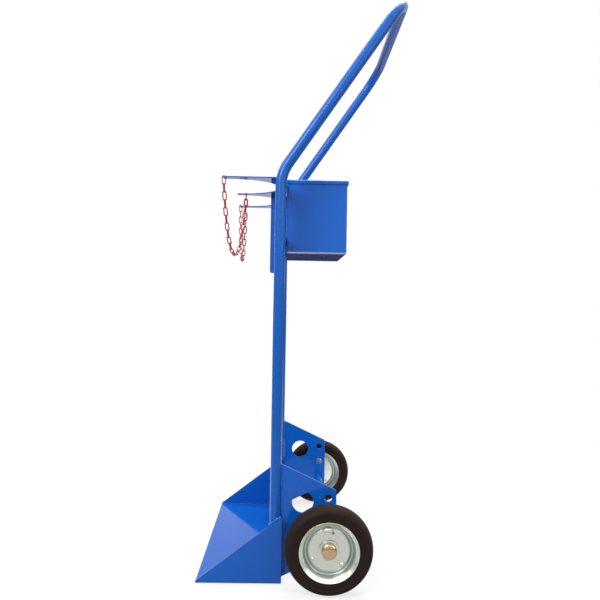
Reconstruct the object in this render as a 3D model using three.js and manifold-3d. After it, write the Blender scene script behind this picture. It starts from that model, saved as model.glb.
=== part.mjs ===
// Welding cart: a two-wheeled hand truck for two gas cylinders, with a toolbox behind the uprights.
// Millimetres. X runs from the toe lip to the wheels, Y along the axle, Z up.
// The origin is on the floor, midway between the two uprights. Left is the -Y side.

import * as THREE from 'three';
import { mergeVertices } from 'three/addons/utils/BufferGeometryUtils.js';
import Module from 'manifold-3d';

// Fits
const CLEARANCE = 0.3;
const BITE = 0.4;

// Cylinder cradle, a flat plate with two round notches
const NOTCH_RADIUS = 106;
const NOTCH_BOTTOM_SETBACK = 5.5;
const PRONG_WIDTH = 16;
const PRONG_OVERHANG = 16.5;
const HORN_WIDTH = 24;
const HORN_OVERHANG = 30.5;
const HORN_INSET = 8;
const HORN_ROUND = 5;
const CRADLE_THICKNESS = 3;
const CRADLE_REAR = 6;
const CRADLE_DROP = 6.5;
const HORN_HOLE_RADIUS = 3.5;
const HORN_HOLE_MARGIN = 3;
const PRONG_HOLE_RADIUS = 4.5;
const PRONG_HOLE_SETBACK = 24;

// Frame tube, bent from one length
const TUBE_DIAMETER = 26.8;
const TUBE_WALL = 2.8;
const BEND_HEIGHT = 983;
const BEND_RADIUS = 100;
const HANDLE_TILT = 34.3;
const HANDLE_LENGTH = 529;
const HANDLE_CORNER_RADIUS = 75;
const CROSS_TUBE_DROP = 147;

// Spine under the middle prong
const SPINE_THICKNESS = 4;
const SPINE_FRONT = 33;
const SPINE_LENGTH = 220;

// Toe scoop
const SHEET = 4;
const TOE_REACH = 188;
const TOE_REAR = 17;
const TOE_SIDE_HEIGHT = 158;
const TOE_LIP_HEIGHT = 6;
const TOE_SIDE_TOP = 6;
const TOE_REAR_ROUND = 3;
const TOE_EDGE_ROUND = 2;
const BACK_PLATE_HEIGHT = 120;
const BACK_PLATE_THICKNESS = 3;

// Wheel brackets and axle
const WHEEL_DIAMETER = 206;
const WHEEL_WIDTH = 50;
const AXLE_SETBACK = 127;
const AXLE_DIAMETER = 20;
const BRACKET_TOP = 283;
const BRACKET_FOOT = 10;
const BRACKET_AXLE_MARGIN = 20;
const BRACKET_REAR_DROP = 27;
const BRACKET_REAR_RISE = 118;
const BRACKET_CORNER = 9;
const LARGE_HOLE_RADIUS = 26;
const LARGE_HOLE_FORWARD = 61;
const LARGE_HOLE_RISE = 89;
const SMALL_HOLE_RADIUS = 9;
const SMALL_HOLE_BEHIND = 1;
const SMALL_HOLE_RISE = 49.5;
const SPACER_LENGTH = 25;
const SPACER_WALL = 4.7;
const WASHER_THICKNESS = 2;
const WASHER_RADIUS = 17;
const OUTER_WASHER_RADIUS = 23.5;
const CAP_RADIUS = 18;
const CAP_RIM = 8;
const CAP_DOME = 5;
const CAP_GRIP = 5;

// Wheels: two pressed half rims on a hub sleeve, under a solid rubber tyre
const RIM_RADIUS = 70.5;
const RIM_SHEET = 2;
const SEAT_RADIUS = 63;
const FLANGE_REACH = 22;
const SEAT_REACH = 15;
const GROOVE_OUTER = 57;
const GROOVE_INNER = 52;
const DISC_RADIUS = 48;
const DISC_REACH = 3;
const HUB_RADIUS = 19;
const HUB_WALL = 3.7;
const HUB_OUTER_REACH = 7;
const HUB_INNER_REACH = 30;
const BUSH_LENGTH = 12;
const TYRE_SHOULDER = 13;
const WALL_STEP = 1.6;
const WALL_STEP_RADIUS = 82;

// Toolbox
const BOX_HALF_WIDTH = 166;
const BOX_DEPTH = 155;
const BOX_HEIGHT = 185;
const BOX_RISE = 7.5;
const BOX_WALL = 1.5;
const BOX_BEND = 6;
const LID_SHEET = 1.5;
const LID_SKIRT = 10;
const LID_PLAY = 1.5;
const HINGE_INSET = 26;
const HINGE_WIDTH = 60;
const HINGE_END_KNUCKLE = 15;
const HINGE_LEAF = 1.5;
const HINGE_LEAF_LENGTH = 26;
const HINGE_KNUCKLE_RADIUS = 3;
const HINGE_PIN_RADIUS = 1.4;

// Chains
const CHAIN_LINKS = 22;
const LINK_WIRE = 3;
const LINK_WIDTH = 11.5;
const LINK_LENGTH = 25;
const HOOK_WIRE = 3;
const HOOK_PLAY = 0.6;
const HOOK_BEND = 2.2;
const HOOK_LENGTH = 23;
const HOOK_MOUTH = 5;

// Facet counts
const TUBE_SIDES = 16;
const BEND_STEPS = 4;
const WHEEL_SIDES = 24;
const HOLE_SIDES = 12;
const NOTCH_STEPS = 24;
const WIRE_SIDES = 6;
const LINK_STEPS = 8;
const CROWN_STEPS = 4;
const HOOK_BEND_STEPS = 3;
const CORNER_STEPS = 3;
const DOME_STEPS = 5;
const PIN_SIDES = 10;

// How far cutting tools run past a face, how near points merge, and how the hanging curve is solved
const OVERRUN = 1;
const MERGE_DISTANCE = 1e-4;
const HALVINGS = 80;
const SLACK_RANGE = 100;

// Places worked out from the driving dimensions
const tubeRadius = TUBE_DIAMETER / 2;
const notchCentreY = PRONG_WIDTH / 2 + NOTCH_RADIUS;
const notchCentreX = -NOTCH_BOTTOM_SETBACK - NOTCH_RADIUS;
const hornOuterY = notchCentreY + NOTCH_RADIUS + HORN_WIDTH;
const uprightY = hornOuterY + HORN_INSET;
const cradleTop = BEND_HEIGHT - CRADLE_DROP;
const cradleUnder = cradleTop - CRADLE_THICKNESS;
const hornTipX = notchCentreX - HORN_OVERHANG;
const prongTipX = notchCentreX - PRONG_OVERHANG;
const hornHoleX = hornTipX + HORN_HOLE_MARGIN + HORN_HOLE_RADIUS;
const hornHoleY = hornOuterY - HORN_WIDTH / 2;
const prongHoleX = prongTipX + PRONG_HOLE_SETBACK;
const prongEdgeY = notchCentreY - Math.sqrt(NOTCH_RADIUS ** 2 - (prongHoleX - notchCentreX) ** 2);
const crossTubeZ = cradleTop - CROSS_TUBE_DROP;
const behindTube = tubeRadius + CLEARANCE;
const axleHeight = WHEEL_DIAMETER / 2;
const axleRadius = AXLE_DIAMETER / 2;
const boreRadius = axleRadius + CLEARANCE;
const spacerStart = uprightY + SHEET / 2 + CLEARANCE;
const innerWasherStart = spacerStart + SPACER_LENGTH + CLEARANCE;
const hubStart = innerWasherStart + WASHER_THICKNESS + CLEARANCE;
const wheelCentreY = hubStart + HUB_INNER_REACH;
const hubEnd = wheelCentreY + HUB_OUTER_REACH;
const outerWasherStart = hubEnd + CLEARANCE;
const capStart = outerWasherStart + WASHER_THICKNESS + CLEARANCE;
const boxFront = behindTube;
const boxRear = boxFront + BOX_DEPTH;
const boxTop = cradleTop + BOX_RISE;
const boxBottom = boxTop - BOX_HEIGHT;
const lidUnder = boxTop + CLEARANCE;
const lidTop = lidUnder + LID_SHEET;
const hingeCentreY = BOX_HALF_WIDTH - HINGE_INSET - HINGE_WIDTH / 2;
const hingeX = boxFront - CLEARANCE - HINGE_KNUCKLE_RADIUS;
const hingeZ = lidTop + CLEARANCE + HINGE_LEAF - HINGE_KNUCKLE_RADIUS;

const SIDES = [
  { name: 'left', sign: -1 },
  { name: 'right', sign: 1 },
];

const paint = new THREE.MeshStandardMaterial({ color: 0x2a66c0, roughness: 0.3, metalness: 0.0 });
const zinc = new THREE.MeshStandardMaterial({ color: 0xc8cdc8, roughness: 0.35, metalness: 1.0 });
const steel = new THREE.MeshStandardMaterial({ color: 0x9a9c9e, roughness: 0.4, metalness: 1.0 });
const rubber = new THREE.MeshStandardMaterial({ color: 0x261d1b, roughness: 0.8, metalness: 0.0 });
const chainRed = new THREE.MeshStandardMaterial({ color: 0xaa1e28, roughness: 0.4, metalness: 0.0 });

const wasm = await Module();
wasm.setup();

/** A closed three.js geometry as a solid that can be cut and joined. */
function solidOf(geometry) {
  geometry.deleteAttribute('normal');
  geometry.deleteAttribute('uv');
  const merged = mergeVertices(geometry, MERGE_DISTANCE);
  return new wasm.Manifold(new wasm.Mesh({
    numProp: 3,
    vertProperties: new Float32Array(merged.attributes.position.array),
    triVerts: new Uint32Array(merged.index.array),
  }));
}

/** A cut or joined solid as a three.js geometry. */
function geometryOf(solid) {
  const mesh = solid.getMesh();
  const geometry = new THREE.BufferGeometry();
  geometry.setAttribute('position', new THREE.BufferAttribute(mesh.vertProperties, 3));
  geometry.setIndex(new THREE.BufferAttribute(mesh.triVerts, 1));
  geometry.computeVertexNormals();
  return geometry;
}

/** A geometry less the given ones. */
function cut(geometry, ...tools) {
  return geometryOf(tools.reduce((solid, tool) => solid.subtract(solidOf(tool)), solidOf(geometry)));
}

/** Several geometries that bite into each other, as one. */
function join(...pieces) {
  return geometryOf(pieces.map(solidOf).reduce((whole, piece) => whole.add(piece)));
}

/** A box between two corners. */
function block(x0, x1, y0, y1, z0, z1) {
  const box = new THREE.BoxGeometry(x1 - x0, y1 - y0, z1 - z0);
  return box.translate((x0 + x1) / 2, (y0 + y1) / 2, (z0 + z1) / 2);
}

/** An outline from corner points, each with an optional round of the given radius. */
function outline(corners) {
  const shape = new THREE.Shape();
  corners.forEach(({ x, y, round = 0 }, index) => {
    const here = new THREE.Vector2(x, y);
    const before = corners.at(index - 1);
    const after = corners[(index + 1) % corners.length];
    const toBefore = new THREE.Vector2(before.x, before.y).sub(here).normalize();
    const toAfter = new THREE.Vector2(after.x, after.y).sub(here).normalize();
    const reach = round / Math.tan(Math.acos(toBefore.dot(toAfter)) / 2);
    const start = here.clone().addScaledVector(toBefore, reach);
    const end = here.clone().addScaledVector(toAfter, reach);
    if (index === 0) {
      shape.moveTo(start.x, start.y);
    } else {
      shape.lineTo(start.x, start.y);
    }
    if (round > 0) {
      shape.quadraticCurveTo(x, y, end.x, end.y);
    }
  });
  shape.closePath();
  return shape;
}

/** A round hole in an outline. */
function hole(x, y, radius) {
  return new THREE.Path().absarc(x, y, radius, 0, 2 * Math.PI, true);
}

/** A level plate from an outline in X and Y. */
function levelPlate(shape, underside, thickness, curveSegments = HOLE_SIDES / 2) {
  const plate = new THREE.ExtrudeGeometry(shape, { depth: thickness, bevelEnabled: false, curveSegments });
  return plate.translate(0, 0, underside);
}

/** An upright plate from an outline in X and Z, lying between two values of Y. */
function uprightPlate(shape, y0, y1, curveSegments = HOLE_SIDES / 2) {
  const plate = new THREE.ExtrudeGeometry(shape, { depth: y1 - y0, bevelEnabled: false, curveSegments });
  return plate.rotateX(Math.PI / 2).translate(0, y1, 0);
}

/** A body turned about an axis along Y. The profile is a list of [radius, distance along Y]. */
function turned(profile, { x, z }, sides) {
  const closed = profile[0][0] > 0 || profile.at(-1)[0] > 0;
  const points = profile.map(([radius, along]) => new THREE.Vector2(radius, along));
  if (THREE.ShapeUtils.area(points) < 0) {
    points.reverse();
  }
  if (closed) {
    points.push(points[0].clone());
  }
  return new THREE.LatheGeometry(points, sides).translate(x, 0, z);
}

/** A plain ring or tube about an axis along Y. */
function sleeve(innerRadius, outerRadius, y0, y1, axis, sides = HOLE_SIDES) {
  const profile = [[innerRadius, y0], [outerRadius, y0], [outerRadius, y1], [innerRadius, y1]];
  return turned(profile, axis, sides);
}

/** A plain bar about an axis along Y. */
function bar(radius, y0, y1, axis, sides = HOLE_SIDES) {
  return turned([[0, y0], [radius, y0], [radius, y1], [0, y1]], axis, sides);
}

/** A route through hand-placed stations, so that rings fall only where the route bends. */
class StationRoute extends THREE.Curve {
  constructor(stations) {
    super();
    this.stations = stations;
  }

  station(u) {
    return this.stations[Math.round(u * (this.stations.length - 1))];
  }

  getPointAt(u) {
    return this.station(u).point.clone();
  }

  getTangentAt(u) {
    return this.station(u).tangent.clone();
  }
}

/** A route along straight runs, with each inner corner rounded to its radius. */
function roundedRoute(corners, radii, bendSteps) {
  const direction = (from, to) => to.clone().sub(from).normalize();
  const stations = [{ point: corners[0], tangent: direction(corners[0], corners[1]) }];
  corners.slice(1, -1).forEach((corner, index) => {
    const incoming = direction(corners[index], corner);
    const outgoing = direction(corner, corners[index + 2]);
    const turn = incoming.angleTo(outgoing);
    const inward = outgoing.clone().addScaledVector(incoming, -incoming.dot(outgoing)).normalize();
    const start = corner.clone().addScaledVector(incoming, -radii[index] * Math.tan(turn / 2));
    for (let step = 0; step <= bendSteps; step += 1) {
      const angle = (turn * step) / bendSteps;
      stations.push({
        point: start.clone()
          .addScaledVector(incoming, radii[index] * Math.sin(angle))
          .addScaledVector(inward, radii[index] * (1 - Math.cos(angle))),
        tangent: incoming.clone().multiplyScalar(Math.cos(angle)).addScaledVector(inward, Math.sin(angle)),
      });
    }
  });
  stations.push({ point: corners.at(-1), tangent: direction(corners.at(-2), corners.at(-1)) });
  return new StationRoute(stations);
}

/** A round rod or tube along a route. */
function rodAlong(route, radius, boreRadiusInside, sides) {
  const section = new THREE.Shape().absarc(0, 0, radius, 0, 2 * Math.PI);
  if (boreRadiusInside > 0) {
    section.holes.push(hole(0, 0, boreRadiusInside));
  }
  return new THREE.ExtrudeGeometry(section, {
    steps: route.stations.length - 1,
    curveSegments: sides / 2,
    extrudePath: route,
  });
}

const cart = new THREE.Group();

/** Adds one named piece to the cart. */
function addPiece(name, geometry, material) {
  const mesh = new THREE.Mesh(geometry, material);
  mesh.name = name;
  cart.add(mesh);
}

/** The frame tube's axis, from the left foot over the handle to the right foot. */
function frameRoute() {
  const tilt = THREE.MathUtils.degToRad(HANDLE_TILT);
  const handleX = HANDLE_LENGTH * Math.sin(tilt);
  const handleZ = BEND_HEIGHT + HANDLE_LENGTH * Math.cos(tilt);
  const foot = SHEET + CLEARANCE;
  const corners = [
    new THREE.Vector3(0, -uprightY, foot),
    new THREE.Vector3(0, -uprightY, BEND_HEIGHT),
    new THREE.Vector3(handleX, -uprightY, handleZ),
    new THREE.Vector3(handleX, uprightY, handleZ),
    new THREE.Vector3(0, uprightY, BEND_HEIGHT),
    new THREE.Vector3(0, uprightY, foot),
  ];
  const radii = [BEND_RADIUS, HANDLE_CORNER_RADIUS, HANDLE_CORNER_RADIUS, BEND_RADIUS];
  return roundedRoute(corners, radii, BEND_STEPS);
}

/** The bent tube, the cross tube and the two plates that they carry. */
function addFrame() {
  const route = frameRoute();
  const cope = () => rodAlong(route, tubeRadius + CLEARANCE, 0, TUBE_SIDES);
  addPiece('frame_tube', rodAlong(route, tubeRadius, tubeRadius - TUBE_WALL, TUBE_SIDES), paint);

  const crossAxis = { x: 0, z: crossTubeZ };
  const crossTube = sleeve(tubeRadius - TUBE_WALL, tubeRadius, -uprightY, uprightY, crossAxis, TUBE_SIDES);
  addPiece('upper_cross_tube', cut(crossTube, cope()), paint);

  const arm = (sign) => [
    { x: CRADLE_REAR, y: sign * hornOuterY },
    { x: hornTipX, y: sign * hornOuterY, round: HORN_ROUND },
    { x: hornTipX, y: sign * (hornOuterY - HORN_WIDTH), round: HORN_ROUND },
  ];
  const [rear, outer, inner] = arm(1);
  const [rearFar, outerFar, innerFar] = arm(-1);
  const prong = PRONG_WIDTH / 2;
  const plate = new THREE.Shape();
  const quarterTurn = Math.PI / 2;
  plate.moveTo(rearFar.x, rearFar.y);
  plate.lineTo(rear.x, rear.y);
  plate.lineTo(outer.x + outer.round, outer.y);
  plate.quadraticCurveTo(outer.x, outer.y, outer.x, outer.y - outer.round);
  plate.lineTo(inner.x, inner.y + inner.round);
  plate.quadraticCurveTo(inner.x, inner.y, inner.x + inner.round, inner.y);
  plate.absarc(notchCentreX, notchCentreY, NOTCH_RADIUS, quarterTurn, -quarterTurn, true);
  plate.lineTo(prongTipX, prong);
  plate.lineTo(prongTipX, -prong);
  plate.absarc(notchCentreX, -notchCentreY, NOTCH_RADIUS, quarterTurn, -quarterTurn, true);
  plate.lineTo(innerFar.x + innerFar.round, innerFar.y);
  plate.quadraticCurveTo(innerFar.x, innerFar.y, innerFar.x, innerFar.y - innerFar.round);
  plate.lineTo(outerFar.x, outerFar.y + outerFar.round);
  plate.quadraticCurveTo(outerFar.x, outerFar.y, outerFar.x + outerFar.round, outerFar.y);
  plate.closePath();
  const holes = [
    [prongHoleX, 0, PRONG_HOLE_RADIUS],
    [hornHoleX, hornHoleY, HORN_HOLE_RADIUS],
    [hornHoleX, -hornHoleY, HORN_HOLE_RADIUS],
  ];
  const drills = holes.map(([x, y, radius]) => levelPlate(
    new THREE.Shape().absarc(x, y, radius, 0, 2 * Math.PI),
    cradleUnder - CRADLE_THICKNESS,
    3 * CRADLE_THICKNESS,
  ));
  const blank = levelPlate(plate, cradleUnder, CRADLE_THICKNESS, NOTCH_STEPS / 2);
  addPiece('cradle_plate', cut(blank, cope(), ...drills), paint);

  const spineTop = cradleUnder - CLEARANCE;
  const spine = block(
    -SPINE_FRONT, tubeRadius, -SPINE_THICKNESS / 2, SPINE_THICKNESS / 2, spineTop - SPINE_LENGTH, spineTop,
  );
  const seat = bar(tubeRadius + CLEARANCE, -SPINE_THICKNESS, SPINE_THICKNESS, crossAxis, TUBE_SIDES);
  addPiece('cradle_spine', cut(spine, seat), paint);
}

/** The toe scoop: floor plate, two sloping sides and a low back between the uprights. */
function addToeScoop() {
  const sideInner = uprightY + tubeRadius + CLEARANCE;
  const floorHalf = sideInner - CLEARANCE;
  addPiece('toe_plate', block(-TOE_REACH, TOE_REAR, -floorHalf, floorHalf, 0, SHEET), paint);
  const side = outline([
    { x: -TOE_REACH, y: 0 },
    { x: TOE_REAR, y: 0 },
    { x: TOE_REAR, y: TOE_SIDE_HEIGHT, round: TOE_REAR_ROUND },
    { x: TOE_REAR - TOE_SIDE_TOP, y: TOE_SIDE_HEIGHT, round: TOE_EDGE_ROUND },
    { x: -TOE_REACH, y: TOE_LIP_HEIGHT, round: TOE_EDGE_ROUND },
  ]);
  SIDES.forEach(({ name, sign }) => {
    const edges = [sign * sideInner, sign * (sideInner + SHEET)];
    const panel = uprightPlate(side, Math.min(...edges), Math.max(...edges), CORNER_STEPS);
    addPiece(`toe_side_${name}`, panel, paint);
  });
  const backHalf = uprightY - tubeRadius - CLEARANCE;
  const half = BACK_PLATE_THICKNESS / 2;
  const backFoot = SHEET + CLEARANCE;
  const backTop = SHEET + BACK_PLATE_HEIGHT;
  addPiece('toe_back_plate', block(-half, half, -backHalf, backHalf, backFoot, backTop), paint);
}

/** The plates behind the uprights that carry the axle. */
function addBrackets() {
  const rearX = AXLE_SETBACK + BRACKET_AXLE_MARGIN;
  const bracket = outline([
    { x: behindTube, y: BRACKET_FOOT },
    { x: rearX, y: axleHeight - BRACKET_REAR_DROP, round: BRACKET_CORNER },
    { x: rearX, y: axleHeight + BRACKET_REAR_RISE, round: BRACKET_CORNER },
    { x: behindTube, y: BRACKET_TOP },
  ]);
  const smallX = AXLE_SETBACK + SMALL_HOLE_BEHIND;
  bracket.holes.push(
    hole(AXLE_SETBACK, axleHeight, boreRadius),
    hole(AXLE_SETBACK - LARGE_HOLE_FORWARD, axleHeight + LARGE_HOLE_RISE, LARGE_HOLE_RADIUS),
    hole(smallX, axleHeight + SMALL_HOLE_RISE, SMALL_HOLE_RADIUS),
    hole(smallX, axleHeight + 2 * SMALL_HOLE_RISE, SMALL_HOLE_RADIUS),
  );
  SIDES.forEach(({ name, sign }) => {
    const middle = sign * uprightY;
    addPiece(`wheel_bracket_${name}`, uprightPlate(bracket, middle - SHEET / 2, middle + SHEET / 2), paint);
  });
}

const axleAxis = { x: AXLE_SETBACK, z: axleHeight };

/** The axle and what stays still on it: spacers, washers and end caps. */
function addAxle() {
  const axleEnd = capStart + CAP_GRIP;
  addPiece('axle', bar(axleRadius, -axleEnd, axleEnd, axleAxis), paint);
  SIDES.forEach(({ name, sign }) => {
    const ring = (start, length, outer) => sleeve(
      boreRadius, outer, sign * start, sign * (start + length), axleAxis,
    );
    addPiece(`axle_spacer_${name}`, ring(spacerStart, SPACER_LENGTH, boreRadius + SPACER_WALL), paint);
    addPiece(`inner_washer_${name}`, ring(innerWasherStart, WASHER_THICKNESS, WASHER_RADIUS), zinc);
    addPiece(`outer_washer_${name}`, ring(outerWasherStart, WASHER_THICKNESS, OUTER_WASHER_RADIUS), zinc);
    const recess = capStart + CAP_GRIP + CLEARANCE;
    const domeStart = capStart + CAP_RIM;
    const dome = Array.from({ length: DOME_STEPS + 1 }, (_, step) => {
      const angle = (step / DOME_STEPS) * (Math.PI / 2);
      const radius = step === DOME_STEPS ? 0 : CAP_RADIUS * Math.cos(angle);
      return [radius, sign * (domeStart + CAP_DOME * Math.sin(angle))];
    });
    const cap = [
      [0, sign * recess],
      [boreRadius, sign * recess],
      [boreRadius, sign * capStart],
      [CAP_RADIUS, sign * capStart],
      ...dome,
    ];
    addPiece(`axle_cap_${name}`, turned(cap, axleAxis, HOLE_SIDES), zinc);
  });
}

/** One half rim's section, from its hub hole out to the flange lip and back along the other face. */
function halfRimProfile() {
  const groove = CLEARANCE / 2;
  const seatInside = SEAT_RADIUS - RIM_SHEET;
  const hubHole = HUB_RADIUS + CLEARANCE;
  const tyreFace = [
    [hubHole, DISC_REACH],
    [DISC_RADIUS - RIM_SHEET / 2, DISC_REACH],
    [GROOVE_INNER, groove],
    [GROOVE_OUTER + RIM_SHEET, groove],
    [SEAT_RADIUS, SEAT_REACH],
    [RIM_RADIUS, FLANGE_REACH],
  ];
  const openFace = [
    [RIM_RADIUS - RIM_SHEET / 2, FLANGE_REACH + RIM_SHEET / 2],
    [seatInside, SEAT_REACH + RIM_SHEET / 2],
    [GROOVE_OUTER, groove + RIM_SHEET],
    [GROOVE_INNER + RIM_SHEET / 2, groove + RIM_SHEET],
    [DISC_RADIUS, DISC_REACH + RIM_SHEET],
    [hubHole, DISC_REACH + RIM_SHEET],
  ];
  return [...tyreFace, ...openFace];
}

/** The tyre's section: a bore with flared sides, stepped walls and a round crown. */
function tyreProfile() {
  const bore = SEAT_RADIUS + CLEARANCE;
  const lip = RIM_RADIUS + CLEARANCE;
  const half = WHEEL_WIDTH / 2;
  const tread = WHEEL_DIAMETER / 2;
  const oneSide = [
    [bore, SEAT_REACH - CLEARANCE],
    [lip, FLANGE_REACH - CLEARANCE],
    [lip + WALL_STEP, half - WALL_STEP],
    [WALL_STEP_RADIUS, half - WALL_STEP],
    [WALL_STEP_RADIUS + WALL_STEP, half],
  ];
  for (let step = CROWN_STEPS; step > 0; step -= 1) {
    const angle = (step / CROWN_STEPS) * (Math.PI / 2);
    oneSide.push([tread - TYRE_SHOULDER * (1 - Math.cos(angle)), half * Math.sin(angle)]);
  }
  const otherSide = oneSide.map(([radius, along]) => [radius, -along]).reverse();
  return [...oneSide, [tread, 0], ...otherSide];
}

/** The two wheels, each turning as one on the axle. */
function addWheels() {
  const bushOuter = HUB_RADIUS - HUB_WALL - CLEARANCE;
  SIDES.forEach(({ name, sign }) => {
    const centre = sign * wheelCentreY;
    const placed = (profile, outward) => profile.map(([radius, along]) => [
      radius, centre + sign * outward * along,
    ]);
    addPiece(`tyre_${name}`, turned(placed(tyreProfile(), 1), axleAxis, WHEEL_SIDES), rubber);
    addPiece(`rim_outer_${name}`, turned(placed(halfRimProfile(), 1), axleAxis, WHEEL_SIDES), zinc);
    addPiece(`rim_inner_${name}`, turned(placed(halfRimProfile(), -1), axleAxis, WHEEL_SIDES), zinc);
    addPiece(`hub_sleeve_${name}`, sleeve(
      HUB_RADIUS - HUB_WALL, HUB_RADIUS, sign * hubStart, sign * hubEnd, axleAxis, WHEEL_SIDES,
    ), zinc);
    const bush = (start) => sleeve(
      boreRadius, bushOuter, sign * start, sign * (start + BUSH_LENGTH), axleAxis,
    );
    addPiece(`outer_bush_${name}`, bush(hubEnd - CLEARANCE - BUSH_LENGTH), steel);
    addPiece(`inner_bush_${name}`, bush(hubStart + CLEARANCE), steel);
  });
}

/** The box's section across the cart: a tray bent up from one sheet. */
function traySection(halfWidth, bottom, top, bend) {
  return outline([
    { x: halfWidth, y: top },
    { x: -halfWidth, y: top },
    { x: -halfWidth, y: bottom, round: bend },
    { x: halfWidth, y: bottom, round: bend },
  ]);
}

/** A section in Y and Z drawn out along X. */
function drawnAlongX(section, x0, x1) {
  const length = { depth: x1 - x0, bevelEnabled: false, curveSegments: CORNER_STEPS };
  const body = new THREE.ExtrudeGeometry(section, length);
  return body.rotateX(Math.PI / 2).rotateZ(Math.PI / 2).translate(x0, 0, 0);
}

/** One leaf of a hinge: a flat with barrels. The flat runs away from the pin along one of its faces. */
function hingeLeaf(flat, barrels, pinAxis) {
  const shells = barrels.map(([y0, y1]) => sleeve(
    HINGE_PIN_RADIUS + CLEARANCE, HINGE_KNUCKLE_RADIUS, y0, y1, pinAxis, HOLE_SIDES,
  ));
  return join(flat, ...shells);
}

/** The toolbox, its lid and the two hinges at the lid's front edge. */
function addToolbox() {
  const outside = drawnAlongX(traySection(BOX_HALF_WIDTH, boxBottom, boxTop, BOX_BEND), boxFront, boxRear);
  const inside = drawnAlongX(
    traySection(BOX_HALF_WIDTH - BOX_WALL, boxBottom + BOX_WALL, boxTop + BOX_WALL, BOX_BEND - BOX_WALL),
    boxFront + BOX_WALL,
    boxRear - BOX_WALL,
  );
  addPiece('toolbox_body', cut(outside, inside), paint);

  const skirtInner = BOX_HALF_WIDTH + LID_PLAY;
  const skirtOuter = skirtInner + LID_SHEET;
  const lidRear = boxRear + LID_PLAY + LID_SHEET;
  const lidBlank = block(boxFront, lidRear, -skirtOuter, skirtOuter, lidTop - LID_SKIRT, lidTop);
  const lidHollow = block(
    boxFront - LID_SKIRT, lidRear - LID_SHEET, -skirtInner, skirtInner, lidTop - 2 * LID_SKIRT, lidUnder,
  );
  addPiece('toolbox_lid', cut(lidBlank, lidHollow), paint);

  const pinAxis = { x: hingeX, z: hingeZ };
  const reach = HINGE_KNUCKLE_RADIUS + CLEARANCE;
  const thin = HINGE_KNUCKLE_RADIUS - HINGE_LEAF;
  SIDES.forEach(({ name, sign }) => {
    const start = sign * hingeCentreY - HINGE_WIDTH / 2;
    const end = start + HINGE_WIDTH;
    const firstGap = start + HINGE_END_KNUCKLE;
    const lastGap = end - HINGE_END_KNUCKLE;
    const fixedFlat = (y0, y1, top) => block(
      hingeX + thin, hingeX + HINGE_KNUCKLE_RADIUS, y0, y1, hingeZ - HINGE_LEAF_LENGTH, hingeZ + top,
    );
    const fixedLeaf = cut(
      fixedFlat(start, end, 0),
      bar(reach, firstGap - CLEARANCE / 2, lastGap + CLEARANCE / 2, pinAxis),
      bar(HINGE_PIN_RADIUS + CLEARANCE, start - OVERRUN, end + OVERRUN, pinAxis),
    );
    addPiece(`hinge_fixed_${name}`, hingeLeaf(
      fixedLeaf, [[start, firstGap - CLEARANCE / 2], [lastGap + CLEARANCE / 2, end]], pinAxis,
    ), paint);
    const movingFlat = block(
      hingeX, hingeX + HINGE_LEAF_LENGTH, start, end, hingeZ + thin, hingeZ + HINGE_KNUCKLE_RADIUS,
    );
    const movingLeaf = cut(
      movingFlat,
      bar(reach, start - OVERRUN, firstGap + CLEARANCE / 2, pinAxis),
      bar(reach, lastGap - CLEARANCE / 2, end + OVERRUN, pinAxis),
    );
    addPiece(`hinge_moving_${name}`, hingeLeaf(
      movingLeaf, [[firstGap + CLEARANCE / 2, lastGap - CLEARANCE / 2]], pinAxis,
    ), paint);
    addPiece(`hinge_pin_${name}`, bar(HINGE_PIN_RADIUS, start, end, pinAxis, PIN_SIDES), steel);
  });
}

/** One oval chain link along X, its flat side in the XY plane: a torus with its ends drawn apart. */
function chainLink() {
  const bendRadius = (LINK_WIDTH - LINK_WIRE) / 2;
  const stretch = (LINK_LENGTH - LINK_WIDTH) / 2;
  const halfStep = Math.PI / LINK_STEPS;
  const cornerRadius = bendRadius / Math.cos(halfStep);
  const link = new THREE.TorusGeometry(cornerRadius, LINK_WIRE / 2, WIRE_SIDES, LINK_STEPS).rotateZ(halfStep);
  const place = link.attributes.position;
  for (let index = 0; index < place.count; index += 1) {
    const x = place.getX(index);
    place.setX(index, x + Math.sign(x) * stretch);
  }
  return link;
}

/** How slack a hanging chain is: the catenary's parameter for a span, a drop and a length. */
function catenaryParameter(span, drop, length) {
  const wanted = Math.sqrt(length * length - drop * drop);
  let low = span / SLACK_RANGE;
  let high = span * SLACK_RANGE;
  for (let step = 0; step < HALVINGS; step += 1) {
    const middle = (low + high) / 2;
    if (2 * middle * Math.sinh(span / (2 * middle)) > wanted) {
      low = middle;
    } else {
      high = middle;
    }
  }
  return (low + high) / 2;
}

/** Points along a hanging chain, evenly spaced along its length. */
function hangingPoints(from, to, length, count) {
  const level = new THREE.Vector3(to.x - from.x, to.y - from.y, 0);
  const span = level.length();
  const drop = to.z - from.z;
  const a = catenaryParameter(span, drop, length);
  const lowest = span / 2 - a * Math.atanh(drop / length);
  const along = (arc) => lowest + a * Math.asinh(arc / a);
  const startArc = a * Math.sinh(-lowest / a);
  const base = from.z - a * Math.cosh(-lowest / a);
  return Array.from({ length: count + 1 }, (_, step) => {
    const distance = along(startArc + (length * step) / count);
    const point = from.clone().addScaledVector(level, distance / span);
    point.z = base + a * Math.cosh((distance - lowest) / a);
    return point;
  });
}

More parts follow.
